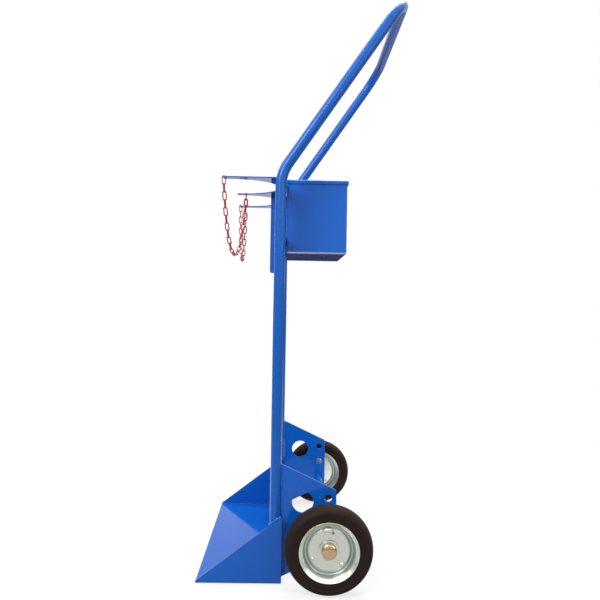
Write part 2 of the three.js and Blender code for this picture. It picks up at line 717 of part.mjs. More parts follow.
/** A chain of links between two points, each link turned a quarter against the one before it. */
function chainBetween(from, to) {
  const pitch = LINK_LENGTH - 2 * LINK_WIRE + BITE;
  const points = hangingPoints(from, to, pitch * CHAIN_LINKS, CHAIN_LINKS);
  const levelSide = new THREE.Vector3(from.y - to.y, to.x - from.x, 0).normalize();
  const links = points.slice(1).map((point, index) => {
    const tangent = point.clone().sub(points[index]).normalize();
    const inPlane = levelSide.clone().cross(tangent);
    const width = index % 2 === 0 ? inPlane : levelSide;
    const turn = new THREE.Matrix4().makeBasis(tangent, width, tangent.clone().cross(width));
    turn.setPosition(point.clone().add(points[index]).multiplyScalar(0.5));
    return chainLink().applyMatrix4(turn);
  });
  return join(...links);
}

/** An open hook over the middle prong's edge, through the prong's hole. */
function hookRoute(sign, topZ, bottomZ) {
  const innerY = sign * (PRONG_HOLE_RADIUS - HOOK_PLAY - HOOK_WIRE / 2);
  const outerY = sign * (prongEdgeY + HOOK_PLAY + HOOK_WIRE / 2);
  const mouthLow = bottomZ + HOOK_BEND + HOOK_WIRE;
  const corners = [
    new THREE.Vector3(prongHoleX, outerY, mouthLow + HOOK_MOUTH),
    new THREE.Vector3(prongHoleX, outerY, topZ),
    new THREE.Vector3(prongHoleX, innerY, topZ),
    new THREE.Vector3(prongHoleX, innerY, bottomZ),
    new THREE.Vector3(prongHoleX, outerY, bottomZ),
    new THREE.Vector3(prongHoleX, outerY, mouthLow),
  ];
  return roundedRoute(corners, [HOOK_BEND, HOOK_BEND, HOOK_BEND, HOOK_BEND], HOOK_BEND_STEPS);
}

/** The two retaining chains, each with an oval ring at its horn and a hook at the middle prong. */
function addChains() {
  const hang = LINK_WIRE + CLEARANCE;
  const joint = LINK_WIRE / 2 - BITE / 2;
  const ringHalf = (LINK_WIDTH - LINK_WIRE) / 2;
  const ringX = hornHoleX - ringHalf;
  const ringInside = ringHalf - LINK_WIRE / 2;
  const ringBend = cradleTop + CLEARANCE - Math.sqrt(ringInside ** 2 - (ringX - hornTipX) ** 2);
  const ringZ = ringBend - (LINK_LENGTH - LINK_WIDTH) / 2;
  const ringBottom = ringZ - (LINK_LENGTH - LINK_WIRE) / 2;
  const hookTop = cradleTop + CLEARANCE + HOOK_WIRE / 2;
  const hookBottom = hookTop - HOOK_LENGTH + HOOK_WIRE;
  const hookY = (PRONG_HOLE_RADIUS + prongEdgeY) / 2;
  SIDES.forEach(({ name, sign }) => {
    const hanging = chainLink().rotateY(Math.PI / 2).rotateZ(Math.PI / 2);
    const ring = hanging.translate(ringX, sign * hornHoleY, ringZ);
    addPiece(`chain_ring_${name}`, ring, chainRed);
    const route = hookRoute(sign, hookTop, hookBottom);
    addPiece(`chain_hook_${name}`, rodAlong(route, HOOK_WIRE / 2, 0, WIRE_SIDES), chainRed);
    const from = new THREE.Vector3(ringX, sign * hornHoleY, ringBottom + hang - joint);
    const to = new THREE.Vector3(prongHoleX, sign * hookY, hookBottom + hang - joint);
    addPiece(`chain_${name}`, chainBetween(from, to), chainRed);
  });
}

addFrame();
addToeScoop();
addBrackets();
addAxle();
addWheels();
addToolbox();
addChains();

export default cart;
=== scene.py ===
"""Looks of a welding cart: a two-wheeled hand truck for two gas cylinders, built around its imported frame.

Metres. X runs from the toe lip to the wheels, Y along the axle, Z up. The origin is on the floor, midway
between the two uprights. Left is the -Y side.
"""

from __future__ import annotations

import logging
import math
from dataclasses import dataclass, replace
from enum import Enum
from typing import NamedTuple, Sequence

import bmesh
import bpy
from bpy.types import Material, Mesh, Node, NodeSocket, NodeTree, Object
from mathutils import Matrix, Vector

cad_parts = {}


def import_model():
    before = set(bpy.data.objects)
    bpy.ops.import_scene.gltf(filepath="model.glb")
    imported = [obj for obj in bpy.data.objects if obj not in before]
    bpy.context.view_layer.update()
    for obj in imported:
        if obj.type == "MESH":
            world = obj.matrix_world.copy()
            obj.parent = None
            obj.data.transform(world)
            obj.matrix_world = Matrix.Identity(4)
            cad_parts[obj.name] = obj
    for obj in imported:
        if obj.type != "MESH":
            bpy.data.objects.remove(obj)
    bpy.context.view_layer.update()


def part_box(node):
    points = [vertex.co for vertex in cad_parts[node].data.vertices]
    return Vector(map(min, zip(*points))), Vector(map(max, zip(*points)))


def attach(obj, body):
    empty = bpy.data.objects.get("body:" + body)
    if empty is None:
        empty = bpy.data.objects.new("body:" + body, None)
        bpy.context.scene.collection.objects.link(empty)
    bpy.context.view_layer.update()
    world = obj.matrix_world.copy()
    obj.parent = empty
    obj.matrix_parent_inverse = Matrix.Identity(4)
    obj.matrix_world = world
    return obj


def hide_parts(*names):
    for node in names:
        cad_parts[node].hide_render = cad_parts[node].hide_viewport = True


MM = 0.001
# A radius under the first length is nothing, and corners nearer than the second are one.
TINY = 1e-9
TOUCHING = 1e-6
# The least cosine between directions that count as the same.
SAME_WAY = 0.9
# Degrees above which an edge stays crisp, by how its piece is made, and above which it is broken.
CRISP_SHEET, CRISP_TURNED, CRISP_NODES, CRISP_EDGE = 32.0, 40.0, 60.0, 50.0
# How finely broken edges, drops of weld, studs and chain links are drawn.
EDGE_STEPS = 2
DROP_DETAIL = 2
STUD_SEGMENTS, STUD_RINGS = 24, 12
LINK_SIDES, LINK_BEND_STEPS = 12, 6
# A link's bend radius as a share of its width. A half would leave no straight at its ends.
LINK_BEND = 0.49
LOG = logging.getLogger("welding_cart")
X_WAY, Y_WAY, Z_WAY = Vector((1, 0, 0)), Vector((0, 1, 0)), Vector((0, 0, 1))

Colour = tuple[float, float, float]
Place = tuple[float, float, float]
Points = list[Vector]
Inputs = dict[str | int, object]


class Slot(Enum):
    """The record's material slots."""

    PAINT = "frame_paint"
    ZINC = "zinc_plate"
    STEEL = "bare_steel"
    CAP = "cap_chrome"
    TYRE = "tyre_rubber"
    CHAIN = "chain_paint"


class Body(Enum):
    """The CAD bodies that pieces ride on."""

    FRAME = "cart_frame"
    LID = "lid"
    LEFT_WHEEL = "left_wheel"
    RIGHT_WHEEL = "right_wheel"
    LEFT_CHAIN = "left_chain"
    RIGHT_CHAIN = "right_chain"


class Side(Enum):
    """The two mirrored sides of the cart."""

    LEFT = -1
    RIGHT = 1

    @property
    def label(self) -> str:
        """The side's name as the CAD nodes spell it."""
        return self.name.lower()

    @property
    def wheel(self) -> Body:
        """The body of this side's wheel."""
        return Body(f"{self.label}_wheel")

    @property
    def chain(self) -> Body:
        """The body of this side's chain."""
        return Body(f"{self.label}_chain")


class Plane(Enum):
    """How an outline's plane and its thickness lie in the cart's frame."""

    LEVEL = ((1, 0, 0), (0, 1, 0), (0, 0, 1))
    UPRIGHT = ((1, 0, 0), (0, 0, 1), (0, -1, 0))
    ACROSS = ((0, 1, 0), (0, 0, 1), (1, 0, 0))

    def matrix(self, offset: float) -> Matrix:
        """Gives the turn from outline space to the cart's frame.

        Args:
            offset: Distance of the outline's plane from the origin, along its normal.

        Returns:
            The 4 by 4 matrix.
        """
        turn = Matrix(self.value).transposed().to_4x4()
        turn.translation = Vector(self.value[2]) * offset
        return turn


class Corner(NamedTuple):
    """A corner of an outline or section, with the radius that rounds it."""

    u: float
    v: float
    round: float = 0.0


class Axis(NamedTuple):
    """A turning axis along Y."""

    x: float
    z: float


class Bead(NamedTuple):
    """A weld bead: its width, the distance between ripples, and how unevenly they are sized."""

    width: float
    ripple: float
    smallest: float = 0.85
    largest: float = 1.1
    seed: int = 7


class Dome(NamedTuple):
    """A low domed stud's length, its width, and its height from middle to top."""

    length: float
    width: float
    height: float


class Ear(NamedTuple):
    """A pressed ear on a half rim: its angle in degrees, its distance from the axle and its dome."""

    angle: float
    radius: float
    dome: Dome


# Node trees


class NodeSheet:
    """Adds and links the nodes of one tree."""

    def __init__(self, tree: NodeTree) -> None:
        """Keeps the tree that nodes are added to."""
        self.tree = tree

    def feed(self, node: Node, inputs: Inputs) -> None:
        """Feeds a node's inputs.

        Args:
            node: The node.
            inputs: What goes into each input, by its name or number: a socket is linked, a value is set.
        """
        for name, value in inputs.items():
            if isinstance(value, NodeSocket):
                self.tree.links.new(value, node.inputs[name])
            else:
                node.inputs[name].default_value = value

    def add(self, kind: str, inputs: Inputs | None = None, **settings: object) -> Node:
        """Adds a node.

        Args:
            kind: The node's type name.
            inputs: What goes into its inputs.
            settings: Its properties by name.

        Returns:
            The new node.
        """
        node = self.tree.nodes.new(kind)
        for name, value in settings.items():
            setattr(node, name, value)
        self.feed(node, inputs or {})
        return node

    def put(
        self, kind: str, output: str | int, inputs: Inputs | None = None, **settings: object
    ) -> NodeSocket:
        """Adds a node and gives one of its outputs."""
        return self.add(kind, inputs, **settings).outputs[output]

    def math(self, operation: str, first: object, second: object) -> NodeSocket:
        """Adds a sum on two numbers or sockets."""
        return self.put("ShaderNodeMath", "Value", {0: first, 1: second}, operation=operation)

    def ramp(
        self, value: NodeSocket, start: float, end: float, low: float = 0.0, high: float = 1.0
    ) -> NodeSocket:
        """Adds a smooth ramp over a value, from low at the start to high at the end."""
        limits = {"Value": value, "From Min": start, "From Max": end, "To Min": low, "To Max": high}
        return self.put("ShaderNodeMapRange", "Result", limits, interpolation_type="SMOOTHSTEP")

    def blend(self, share: NodeSocket, first: object, second: object) -> NodeSocket:
        """Mixes two numbers or sockets, with a share of the second."""
        inputs = {"Factor": share, "A": first, "B": second}
        return self.put("ShaderNodeMix", "Result", inputs, data_type="FLOAT")

    def tint(self, share: NodeSocket, first: object, second: object, way: str = "MIX") -> NodeSocket:
        """Blends two colours or sockets in a way, with a share of the second."""
        inputs = {"Factor": share, "A": first, "B": second}
        return self.put("ShaderNodeMix", "Result", inputs, data_type="RGBA", blend_type=way)

    def coordinate(self, place: NodeSocket, axis: str) -> NodeSocket:
        """Takes one of a place's coordinates."""
        return self.put("ShaderNodeSeparateXYZ", axis, {"Vector": place})


# Finishes


@dataclass(frozen=True)
class PaintedGrooveShade:
    """A ring round an axis along Y where a finish is darkened and tinted: painted shade, used in a rim's
    groove.
    """

    centre: Place
    inner: float
    outer: float
    fade: float
    tint: Colour

    def mask(self, sheet: NodeSheet, place: NodeSocket) -> NodeSocket:
        """Adds the ring's mask.

        Args:
            sheet: The material's nodes.
            place: The coordinates.

        Returns:
            A socket that is 1 inside the ring and 0 outside.
        """
        flat = {0: place, 1: (1.0, 0.0, 1.0)}
        level = sheet.put("ShaderNodeVectorMath", "Vector", flat, operation="MULTIPLY")
        ends = {0: level, 1: self.centre}
        distance = sheet.put("ShaderNodeVectorMath", "Value", ends, operation="DISTANCE")
        inside = sheet.ramp(distance, self.inner - self.fade, self.inner + self.fade)
        outside = sheet.ramp(distance, self.outer + self.fade, self.outer - self.fade)
        return sheet.math("MULTIPLY", inside, outside)


@dataclass(frozen=True)
class PaintedLevelShade:
    """A layer below a height where a finish is darkened and tinted: painted shade, used on the toolbox's
    underside.
    """

    height: float
    fade: float
    tint: Colour

    def mask(self, sheet: NodeSheet, place: NodeSocket) -> NodeSocket:
        """Adds the layer's mask, which is 1 below the height and 0 above."""
        return sheet.ramp(sheet.coordinate(place, "Z"), self.height + self.fade, self.height - self.fade)


@dataclass(frozen=True)
class Finish:
    """A surface finish: base colour, its faint second tone, how rough the surface is, and for some a
    painted shade that darkens part of the colour.
    """

    name: str
    slot: Slot
    colour: Colour
    second_colour: Colour
    tone_scale: float
    roughness: tuple[float, float]
    metallic: float = 0.0
    coat: float = 0.0
    coat_roughness: float = 0.06
    specular: float = 0.5
    # Painted shade: a mask inside which the base colour is darkened and tinted.
    shade: PaintedGrooveShade | PaintedLevelShade | None = None
    tone_octaves: float = 4.0
    gloss_octaves: float = 3.0
    gloss_scale: float = 3.0

    def material(self) -> Material:
        """Builds the finish on first use.

        Returns:
            The shared material.
        """
        found = bpy.data.materials.get(self.name)
        if found:
            return found
        material = bpy.data.materials.new(self.name)
        material.use_nodes = True
        sheet = NodeSheet(material.node_tree)
        place = sheet.put("ShaderNodeTexCoord", "Object")
        tone = self._noise(sheet, place, self.tone_scale, self.tone_octaves)
        colour = sheet.tint(tone, (*self.colour, 1.0), (*self.second_colour, 1.0))
        # A shade darkens the colour inside its mask: painted shade, not light from the lamps.
        if self.shade:
            colour = sheet.tint(self.shade.mask(sheet, place), colour, (*self.shade.tint, 1.0), "MULTIPLY")
        low, high = self.roughness
        gloss = self._noise(sheet, place, self.tone_scale * self.gloss_scale, self.gloss_octaves)
        rough = sheet.put("ShaderNodeMapRange", "Result", {"Value": gloss, "To Min": low, "To Max": high})
        sheet.feed(material.node_tree.nodes["Principled BSDF"], {
            "Base Color": colour,
            "Roughness": rough,
            "Metallic": self.metallic,
            "Coat Weight": self.coat,
            "Coat Roughness": self.coat_roughness,
            "Specular IOR Level": self.specular,
        })
        return material

    def _noise(self, sheet: NodeSheet, place: NodeSocket, scale: float, octaves: float) -> NodeSocket:
        """Adds a noise on the piece's own coordinates, with so many patches to the metre."""
        return sheet.put("ShaderNodeTexNoise", "Fac", {"Vector": place, "Scale": scale, "Detail": octaves})


BLUE_ENAMEL = Finish(
    name="blue_enamel",
    slot=Slot.PAINT,
    colour=(0.003, 0.095, 0.45),
    second_colour=(0.004, 0.102, 0.48),
    tone_scale=7.0,
    roughness=(0.08, 0.11),
    specular=0.25,
)
TUBE_ENAMEL = replace(
    BLUE_ENAMEL,
    name="tube_enamel",
    colour=(0.005, 0.090, 0.40),
    second_colour=(0.006, 0.097, 0.43),
    roughness=(0.24, 0.30),
)
# The toolbox's flat underside gets painted shade: its colour is darkened to a deep blue below 799.3 mm.
BOX_ENAMEL_UNDERSIDE_SHADE = replace(
    BLUE_ENAMEL,
    name="box_enamel_painted_underside_shade",
    shade=PaintedLevelShade(height=799.3 * MM, fade=0.2 * MM, tint=(0.3, 0.5, 0.85)),
)
ZINC_PLATE = Finish(
    name="bright_zinc",
    slot=Slot.ZINC,
    colour=(0.55, 0.57, 0.50),
    second_colour=(0.63, 0.65, 0.58),
    tone_scale=45.0,
    roughness=(0.22, 0.34),
    metallic=1.0,
)
# The rim's groove gets painted shade: a bluish-grey darkening between 47.5 and 58 mm from the axle.
RIM_ZINC_GROOVE_SHADE = replace(
    ZINC_PLATE,
    name="rim_zinc_painted_groove_shade",
    roughness=(0.30, 0.40),
    shade=PaintedGrooveShade(
        centre=(127 * MM, 0.0, 103 * MM),
        inner=47.5 * MM,
        outer=58 * MM,
        fade=2.5 * MM,
        tint=(0.59, 0.65, 0.73),
    ),
)
TURNED_STEEL = Finish(
    name="turned_steel",
    slot=Slot.STEEL,
    colour=(0.46, 0.47, 0.48),
    second_colour=(0.56, 0.56, 0.57),
    tone_scale=60.0,
    roughness=(0.28, 0.45),
    metallic=1.0,
)
# The cap's warm tan colour is a painted reflection of a brown floor on its chrome, spread evenly over the
# cap.
CAP_TAN_REFLECTION = Finish(
    name="cap_painted_tan_reflection",
    slot=Slot.CAP,
    colour=(0.46, 0.32, 0.185),
    second_colour=(0.53, 0.385, 0.24),
    tone_scale=40.0,
    roughness=(0.10, 0.18),
    metallic=1.0,
)
TYRE_RUBBER = Finish(
    name="black_rubber",
    slot=Slot.TYRE,
    colour=(0.0150, 0.0088, 0.0072),
    second_colour=(0.0190, 0.0120, 0.0105),
    tone_scale=55.0,
    roughness=(0.50, 0.70),
    specular=0.08,
)
CHAIN_ENAMEL = Finish(
    name="chain_enamel",
    slot=Slot.CHAIN,
    colour=(0.33, 0.010, 0.018),
    second_colour=(0.43, 0.018, 0.026),
    tone_scale=120.0,
    roughness=(0.25, 0.38),
    coat=0.2,
)


# Outlines, sections and routes


def rounded_outline(corners: Sequence[Corner], steps: int = 6) -> Points:
    """Rounds the corners of a closed outline.

    Args:
        corners: The corners in order, each with its radius.
        steps: Chords in each round.

    Returns:
        The outline's points.
    """
    points: Points = []
    count = len(corners)
    for index, corner in enumerate(corners):
        here = Vector((corner.u, corner.v))
        if corner.round <= 0.0:
            points.append(here)
            continue
        before, after = corners[index - 1], corners[(index + 1) % count]
        to_before = (Vector((before.u, before.v)) - here).normalized()
        to_after = (Vector((after.u, after.v)) - here).normalized()
        half = to_before.angle(to_after) / 2
        centre = here + (to_before + to_after).normalized() * (corner.round / math.sin(half))
        reach = corner.round / math.tan(half)
        start = here + to_before * reach - centre
        sweep = start.angle_signed(here + to_after * reach - centre)
        for step in range(steps + 1):
            turn = Matrix.Rotation(-sweep * step / steps, 2)
            points.append(centre + turn @ start)
    return points


def circle(u: float, v: float, radius: float, steps: int = 36) -> Points:
    """Gives the points of a round hole."""
    turns = (2 * math.pi * step / steps for step in range(steps))
    return [Vector((u + radius * math.cos(turn), v + radius * math.sin(turn))) for turn in turns]


def mirrored(points: Sequence[Vector]) -> Points:
    """Gives points in reverse order on the other side of the middle plane."""
    return [Vector((point.x, -point.y, *point[2:])) for point in reversed(points)]


def sleeve_section(bore: float, radius: float, ends: tuple[float, float], edge: float) -> list[Corner]:
    """Gives a hollow sleeve's section, with its edges rounded."""
    places = ((bore, ends[0]), (radius, ends[0]), (radius, ends[1]), (bore, ends[1]))
    return [Corner(u, v, edge) for u, v in places]


def pin_section(radius: float, ends: tuple[float, float], edge: float = 0.0) -> list[Corner]:
    """Gives a solid pin's section, with its edges rounded."""
    rim = [Corner(radius, end, edge) for end in ends]
    return [Corner(0.0, ends[0]), *rim, Corner(0.0, ends[1])]


def rounded_route(corners: Sequence[Vector], radii: Sequence[float], steps: int) -> Points:
    """Rounds the inner corners of a route in space.

    Args:
        corners: The route's corners.
        radii: The bend radius at each inner corner.
        steps: Chords in each bend.

    Returns:
        The route's points.
    """
    points = [corners[0].copy()]
    for index, radius in enumerate(radii):
        corner = corners[index + 1]
        incoming = (corner - corners[index]).normalized()
        outgoing = (corners[index + 2] - corner).normalized()
        turn = incoming.angle(outgoing)
        inward = (outgoing - incoming * incoming.dot(outgoing)).normalized()
        start = corner - incoming * radius * math.tan(turn / 2)
        for step in range(steps + 1):
            angle = turn * step / steps
            ahead = incoming * radius * math.sin(angle)
            points.append(start + ahead + inward * radius * (1 - math.cos(angle)))
    points.append(corners[-1].copy())
    return points


# Meshes


def put_in_scene(name: str, data: bpy.types.ID) -> Object:
    """Makes an object of a mesh, lamp or camera and puts it in the scene."""
    thing = bpy.data.objects.new(name, data)
    bpy.context.scene.collection.objects.link(thing)
    return thing


def smooth(mesh: Mesh, angle: float) -> None:
    """Smooths a mesh, apart from edges sharper than this many degrees."""
    mesh.polygons.foreach_set("use_smooth", [True] * len(mesh.polygons))
    mesh.set_sharp_from_angle(angle=math.radians(angle))


def mesh_from(name: str, shape: bmesh.types.BMesh, turn_outwards: bool = True) -> Mesh:
    """Turns a working shape into a mesh.

    Args:
        name: The mesh's name.
        shape: The working shape, which is freed.
        turn_outwards: Whether its faces are first turned outwards.

    Returns:
        The mesh.
    """
    if turn_outwards:
        bmesh.ops.recalc_face_normals(shape, faces=shape.faces)
    mesh = bpy.data.meshes.new(name)
    shape.to_mesh(mesh)
    shape.free()
    return mesh


def piece_from(name: str, mesh: Mesh, smooth_angle: float = CRISP_SHEET) -> Object:
    """Puts a smoothed mesh, in the cart's frame, in the scene as a piece at the origin."""
    smooth(mesh, smooth_angle)
    return put_in_scene(name, mesh)


def flatten(piece: Object) -> Mesh:
    """Turns a piece's modifiers into plain mesh and takes them off.

    Args:
        piece: The piece with its modifiers.

    Returns:
        The piece's new mesh.
    """
    bpy.context.view_layer.update()
    graph = bpy.context.evaluated_depsgraph_get()
    mesh = bpy.data.meshes.new_from_object(piece.evaluated_get(graph), depsgraph=graph)
    piece.modifiers.clear()
    piece.data = mesh
    return mesh


def settle(piece: Object, smooth_angle: float = CRISP_SHEET) -> Object:
    """Turns a piece's modifiers into plain mesh with smooth faces."""
    smooth(flatten(piece), smooth_angle)
    return piece


def thicken(piece: Object, thickness: float, offset: float) -> Object:
    """Gives a bent sheet its wall.

    Args:
        piece: The sheet.
        thickness: The wall's thickness.
        offset: Where the wall lies: 0 is about the sheet, and -1 is behind it.

    Returns:
        The same piece.
    """
    wall = piece.modifiers.new("wall", "SOLIDIFY")
    wall.thickness = thickness
    wall.offset = offset
    wall.use_even_offset = True
    return settle(piece)


def soften_edges(piece: Object, width: float) -> Object:
    """Breaks a piece's sharp edges and keeps its flat faces level in mirrors.

    Args:
        piece: The piece.
        width: Width of the broken edge.

    Returns:
        The same piece.
    """
    bevel = piece.modifiers.new("edges", "BEVEL")
    bevel.width = width
    bevel.segments = EDGE_STEPS
    bevel.limit_method = "ANGLE"
    bevel.angle_limit = math.radians(CRISP_EDGE)
    settle(piece)
    level = piece.modifiers.new("level_faces", "WEIGHTED_NORMAL")
    level.mode = "FACE_AREA"
    level.keep_sharp = True
    flatten(piece)
    return piece


def plate(
    name: str,
    outline: Points,
    holes: Sequence[Points],
    plane: Plane,
    faces: tuple[float, float],
    edge: float = 0.6 * MM,
) -> Object:
    """Cuts a flat plate from an outline.

    Args:
        name: The piece's name.
        outline: The outer edge.
        holes: The edges of its holes.
        plane: How the plate lies.
        faces: Where its two faces lie along the plane's normal.
        edge: Width of the broken edges.

    Returns:
        The plate.
    """
    shape = bmesh.new()
    edges = []
    for loop in (outline, *holes):
        corners = [shape.verts.new((point.x, point.y, 0.0)) for point in loop]
        edges += [shape.edges.new((corners[i - 1], corners[i])) for i in range(len(corners))]
    filled = bmesh.ops.triangle_fill(shape, use_beauty=True, edges=edges)
    caps = [item for item in filled["geom"] if isinstance(item, bmesh.types.BMFace)]
    # The extrude operator's order differs from run to run, so the other faces are added one by one.
    rise = Vector((0.0, 0.0, faces[1] - faces[0]))
    raised = {corner: shape.verts.new(corner.co + rise) for corner in list(shape.verts)}
    for cap in caps:
        shape.faces.new([raised[corner] for corner in cap.verts])
    for first, second in [side.verts for side in edges]:
        shape.faces.new((first, second, raised[second], raised[first]))
    shape.transform(plane.matrix(faces[0]))
    return soften_edges(piece_from(name, mesh_from(name, shape)), edge)


def turned(
    name: str, profile: Sequence[Corner], axis: Axis, sides: int = 96, round_steps: int = 4
) -> Object:
    """Turns a closed section about an axis along Y.

    Args:
        name: The piece's name.
        profile: Corners as radius and place along Y. A section that starts and ends at radius 0 is solid.
        axis: The axis.
        sides: Facets round the axis.
        round_steps: Chords in each rounded corner.

    Returns:
        The turned piece.
    """
    section = rounded_outline(profile, round_steps)
    shape = bmesh.new()
    rings = []
    for point in section:
        if point.x < TINY:
            rings.append([shape.verts.new((axis.x, point.y, axis.z))])
            continue
        ring = circle(axis.x, axis.z, point.x, sides)
        rings.append([shape.verts.new((place.x, point.y, place.y)) for place in ring])
    pairs = list(zip(rings, rings[1:]))
    if section[0].x >= TINY or section[-1].x >= TINY:
        pairs.append((rings[-1], rings[0]))
    for first, second in pairs:
        for step in range(sides):
            after = (step + 1) % sides
            corners = [
                first[step % len(first)], first[after % len(first)],
                second[after % len(second)], second[step % len(second)],
            ]
            unique = list(dict.fromkeys(corners))
            if len(unique) > 2:
                shape.faces.new(unique)
    return piece_from(name, mesh_from(name, shape), CRISP_TURNED)


def joined(name: str, pieces: Sequence[Object]) -> Object:
    """Joins finished pieces into one.

    Args:
        name: The joined piece's name.
        pieces: What goes into it.

    Returns:
        The joined piece.
    """
    shape = bmesh.new()
    for piece in pieces:
        shape.from_mesh(piece.data)
        bpy.data.objects.remove(piece)
    return piece_from(name, mesh_from(name, shape, False))


# Pieces on the frame


def keep(piece: Object, body: Body, finish: Finish, *nodes: str) -> None:
    """Finishes a piece, fixes it to its body and hides the CAD nodes that it stands for.

    Args:
        piece: The finished piece.
        body: The CAD body that it rides on.
        finish: Its finish.
        nodes: The CAD nodes that it replaces.
    """
    piece.data.materials.clear()
    piece.data.materials.append(finish.material())
    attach(piece, body.value)
    if nodes:
        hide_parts(*nodes)
    LOG.info("%s: %d faces on %s", piece.name, len(piece.data.polygons), body.value)


# Geometry Nodes


class NodeTool:
    """A Geometry Nodes tree with named sizes, run on a path or points and then turned into plain mesh."""

    def __init__(self, name: str, sizes: dict[str, float], finish: Finish) -> None:
        """Starts the tree.

        Args:
            name: The tree's name.
            sizes: Its named inputs.
            finish: What its result is finished in.
        """
        self.tree = bpy.data.node_groups.new(name, "GeometryNodeTree")
        self.sheet = NodeSheet(self.tree)
        self.finish = finish
        self.sizes = sizes
        sockets = self.tree.interface
        sockets.new_socket("Geometry", in_out="INPUT", socket_type="NodeSocketGeometry")
        self.identifiers = {
            size: sockets.new_socket(size, in_out="INPUT", socket_type="NodeSocketFloat").identifier
            for size in sizes
        }
        sockets.new_socket("Geometry", in_out="OUTPUT", socket_type="NodeSocketGeometry")
        self.entry = self.sheet.add("NodeGroupInput").outputs

    def half(self, size: str) -> NodeSocket:
        """Gives half of a named size."""
        return self.sheet.math("MULTIPLY", self.entry[size], 0.5)

    def line(self) -> NodeSocket:
        """Gives the base mesh's paths as curves."""
        return self.sheet.put("GeometryNodeMeshToCurve", "Curve", {"Mesh": self.entry["Geometry"]})

    def round_wire(self, curve: NodeSocket, size: str, sides: int, caps: bool) -> NodeSocket:
        """Runs a round wire along a curve.

        Args:
            curve: The curve.
            size: The named size that is the wire's diameter.
            sides: Facets round the wire.
            caps: Whether its ends are closed.

        Returns:
            The wire's mesh.
        """
        ring = {"Resolution": sides, "Radius": self.half(size)}
        section = self.sheet.put("GeometryNodeCurvePrimitiveCircle", "Curve", ring)
        sweep = {"Curve": curve, "Profile Curve": section, "Fill Caps": caps}
        return self.sheet.put("GeometryNodeCurveToMesh", "Mesh", sweep)

    def set_along_axes(self, shape: NodeSocket) -> NodeSocket:
        """Sets a shape on every point, turned to the point's two directions.

        Args:
            shape: What is set there.

        Returns:
            The instances' socket.
        """
        axes = {
            socket: self.sheet.put(
                "GeometryNodeInputNamedAttribute", "Attribute", {"Name": label}, data_type="FLOAT_VECTOR"
            )
            for label, socket in (("first_axis", "Primary Axis"), ("second_axis", "Secondary Axis"))
        }
        turn = self.sheet.put(
            "FunctionNodeAxesToRotation", "Rotation", axes, primary_axis="X", secondary_axis="Y"
        )
        spread = {"Points": self.entry["Geometry"], "Instance": shape, "Rotation": turn}
        return self.sheet.put("GeometryNodeInstanceOnPoints", "Instances", spread)

    def end(self, shape: NodeSocket) -> NodeTool:
        """Closes the tree: realises instances, smooths and sets the material.

        Args:
            shape: The geometry to hand out.

        Returns:
            The same tool.
        """
        for kind, inputs in (
            ("GeometryNodeRealizeInstances", {}),
            ("GeometryNodeSetShadeSmooth", {}),
            ("GeometryNodeSetMaterial", {"Material": self.finish.material()}),
        ):
            shape = self.sheet.put(kind, "Geometry", {"Geometry": shape, **inputs})
        self.sheet.add("NodeGroupOutput", {"Geometry": shape})
        return self

    def run(self, name: str, base: Mesh, body: Body, *nodes: str) -> None:
        """Runs the tree on a base mesh and keeps the result as a plain mesh.

        Args:
            name: The new piece's name.
            base: The path or points that the tree works on.
            body: The CAD body that the piece rides on.
            nodes: The CAD nodes that it replaces.
        """
        piece = put_in_scene(name, base)
        modifier = piece.modifiers.new("nodes", "NODES")
        modifier.node_group = self.tree
        for size, value in self.sizes.items():
            modifier[self.identifiers[size]] = value
        keep(settle(piece, CRISP_NODES), body, self.finish, *nodes)


def path_mesh(name: str, paths: Sequence[Points], closed: bool = False) -> Mesh:
    """Makes a mesh of edges along some paths.

    Args:
        name: The mesh's name.
        paths: Each path's points.
        closed: Whether each path ends where it starts.

    Returns:
        The mesh.
    """
    places: list[Vector] = []
    edges: list[tuple[int, int]] = []
    for path in paths:
        first = len(places)
        places += path
        edges += [(first + i, first + i + 1) for i in range(len(path) - 1)]
        if closed:
            edges.append((len(places) - 1, first))
    mesh = bpy.data.meshes.new(name)
    mesh.from_pydata(places, edges, [])
    return mesh


def point_mesh(name: str, places: Points, first_axes: Points, second_axes: Points) -> Mesh:
    """Makes a mesh of loose points, each with two directions that a part set there follows.

    Args:
        name: The mesh's name.
        places: The points.
        first_axes: Each point's main direction.
        second_axes: Each point's second direction.

    Returns:
        The mesh.
    """
    mesh = bpy.data.meshes.new(name)
    mesh.from_pydata(places, [], [])
    for label, axes in (("first_axis", first_axes), ("second_axis", second_axes)):
        layer = mesh.attributes.new(label, "FLOAT_VECTOR", "POINT")
        layer.data.foreach_set("vector", [value for axis in axes for value in axis])
    return mesh


def rod_tool(name: str, diameter: float, sides: int, finish: Finish) -> NodeTool:
    """Builds the tree that runs a round rod along a path.

    Args:
        name: The tree's name.
        diameter: The rod's diameter.
        sides: Facets round it.
        finish: Its finish.

    Returns:
        The tool.
    """
    tool = NodeTool(name, {"Diameter": diameter}, finish)
    return tool.end(tool.round_wire(tool.line(), "Diameter", sides, True))


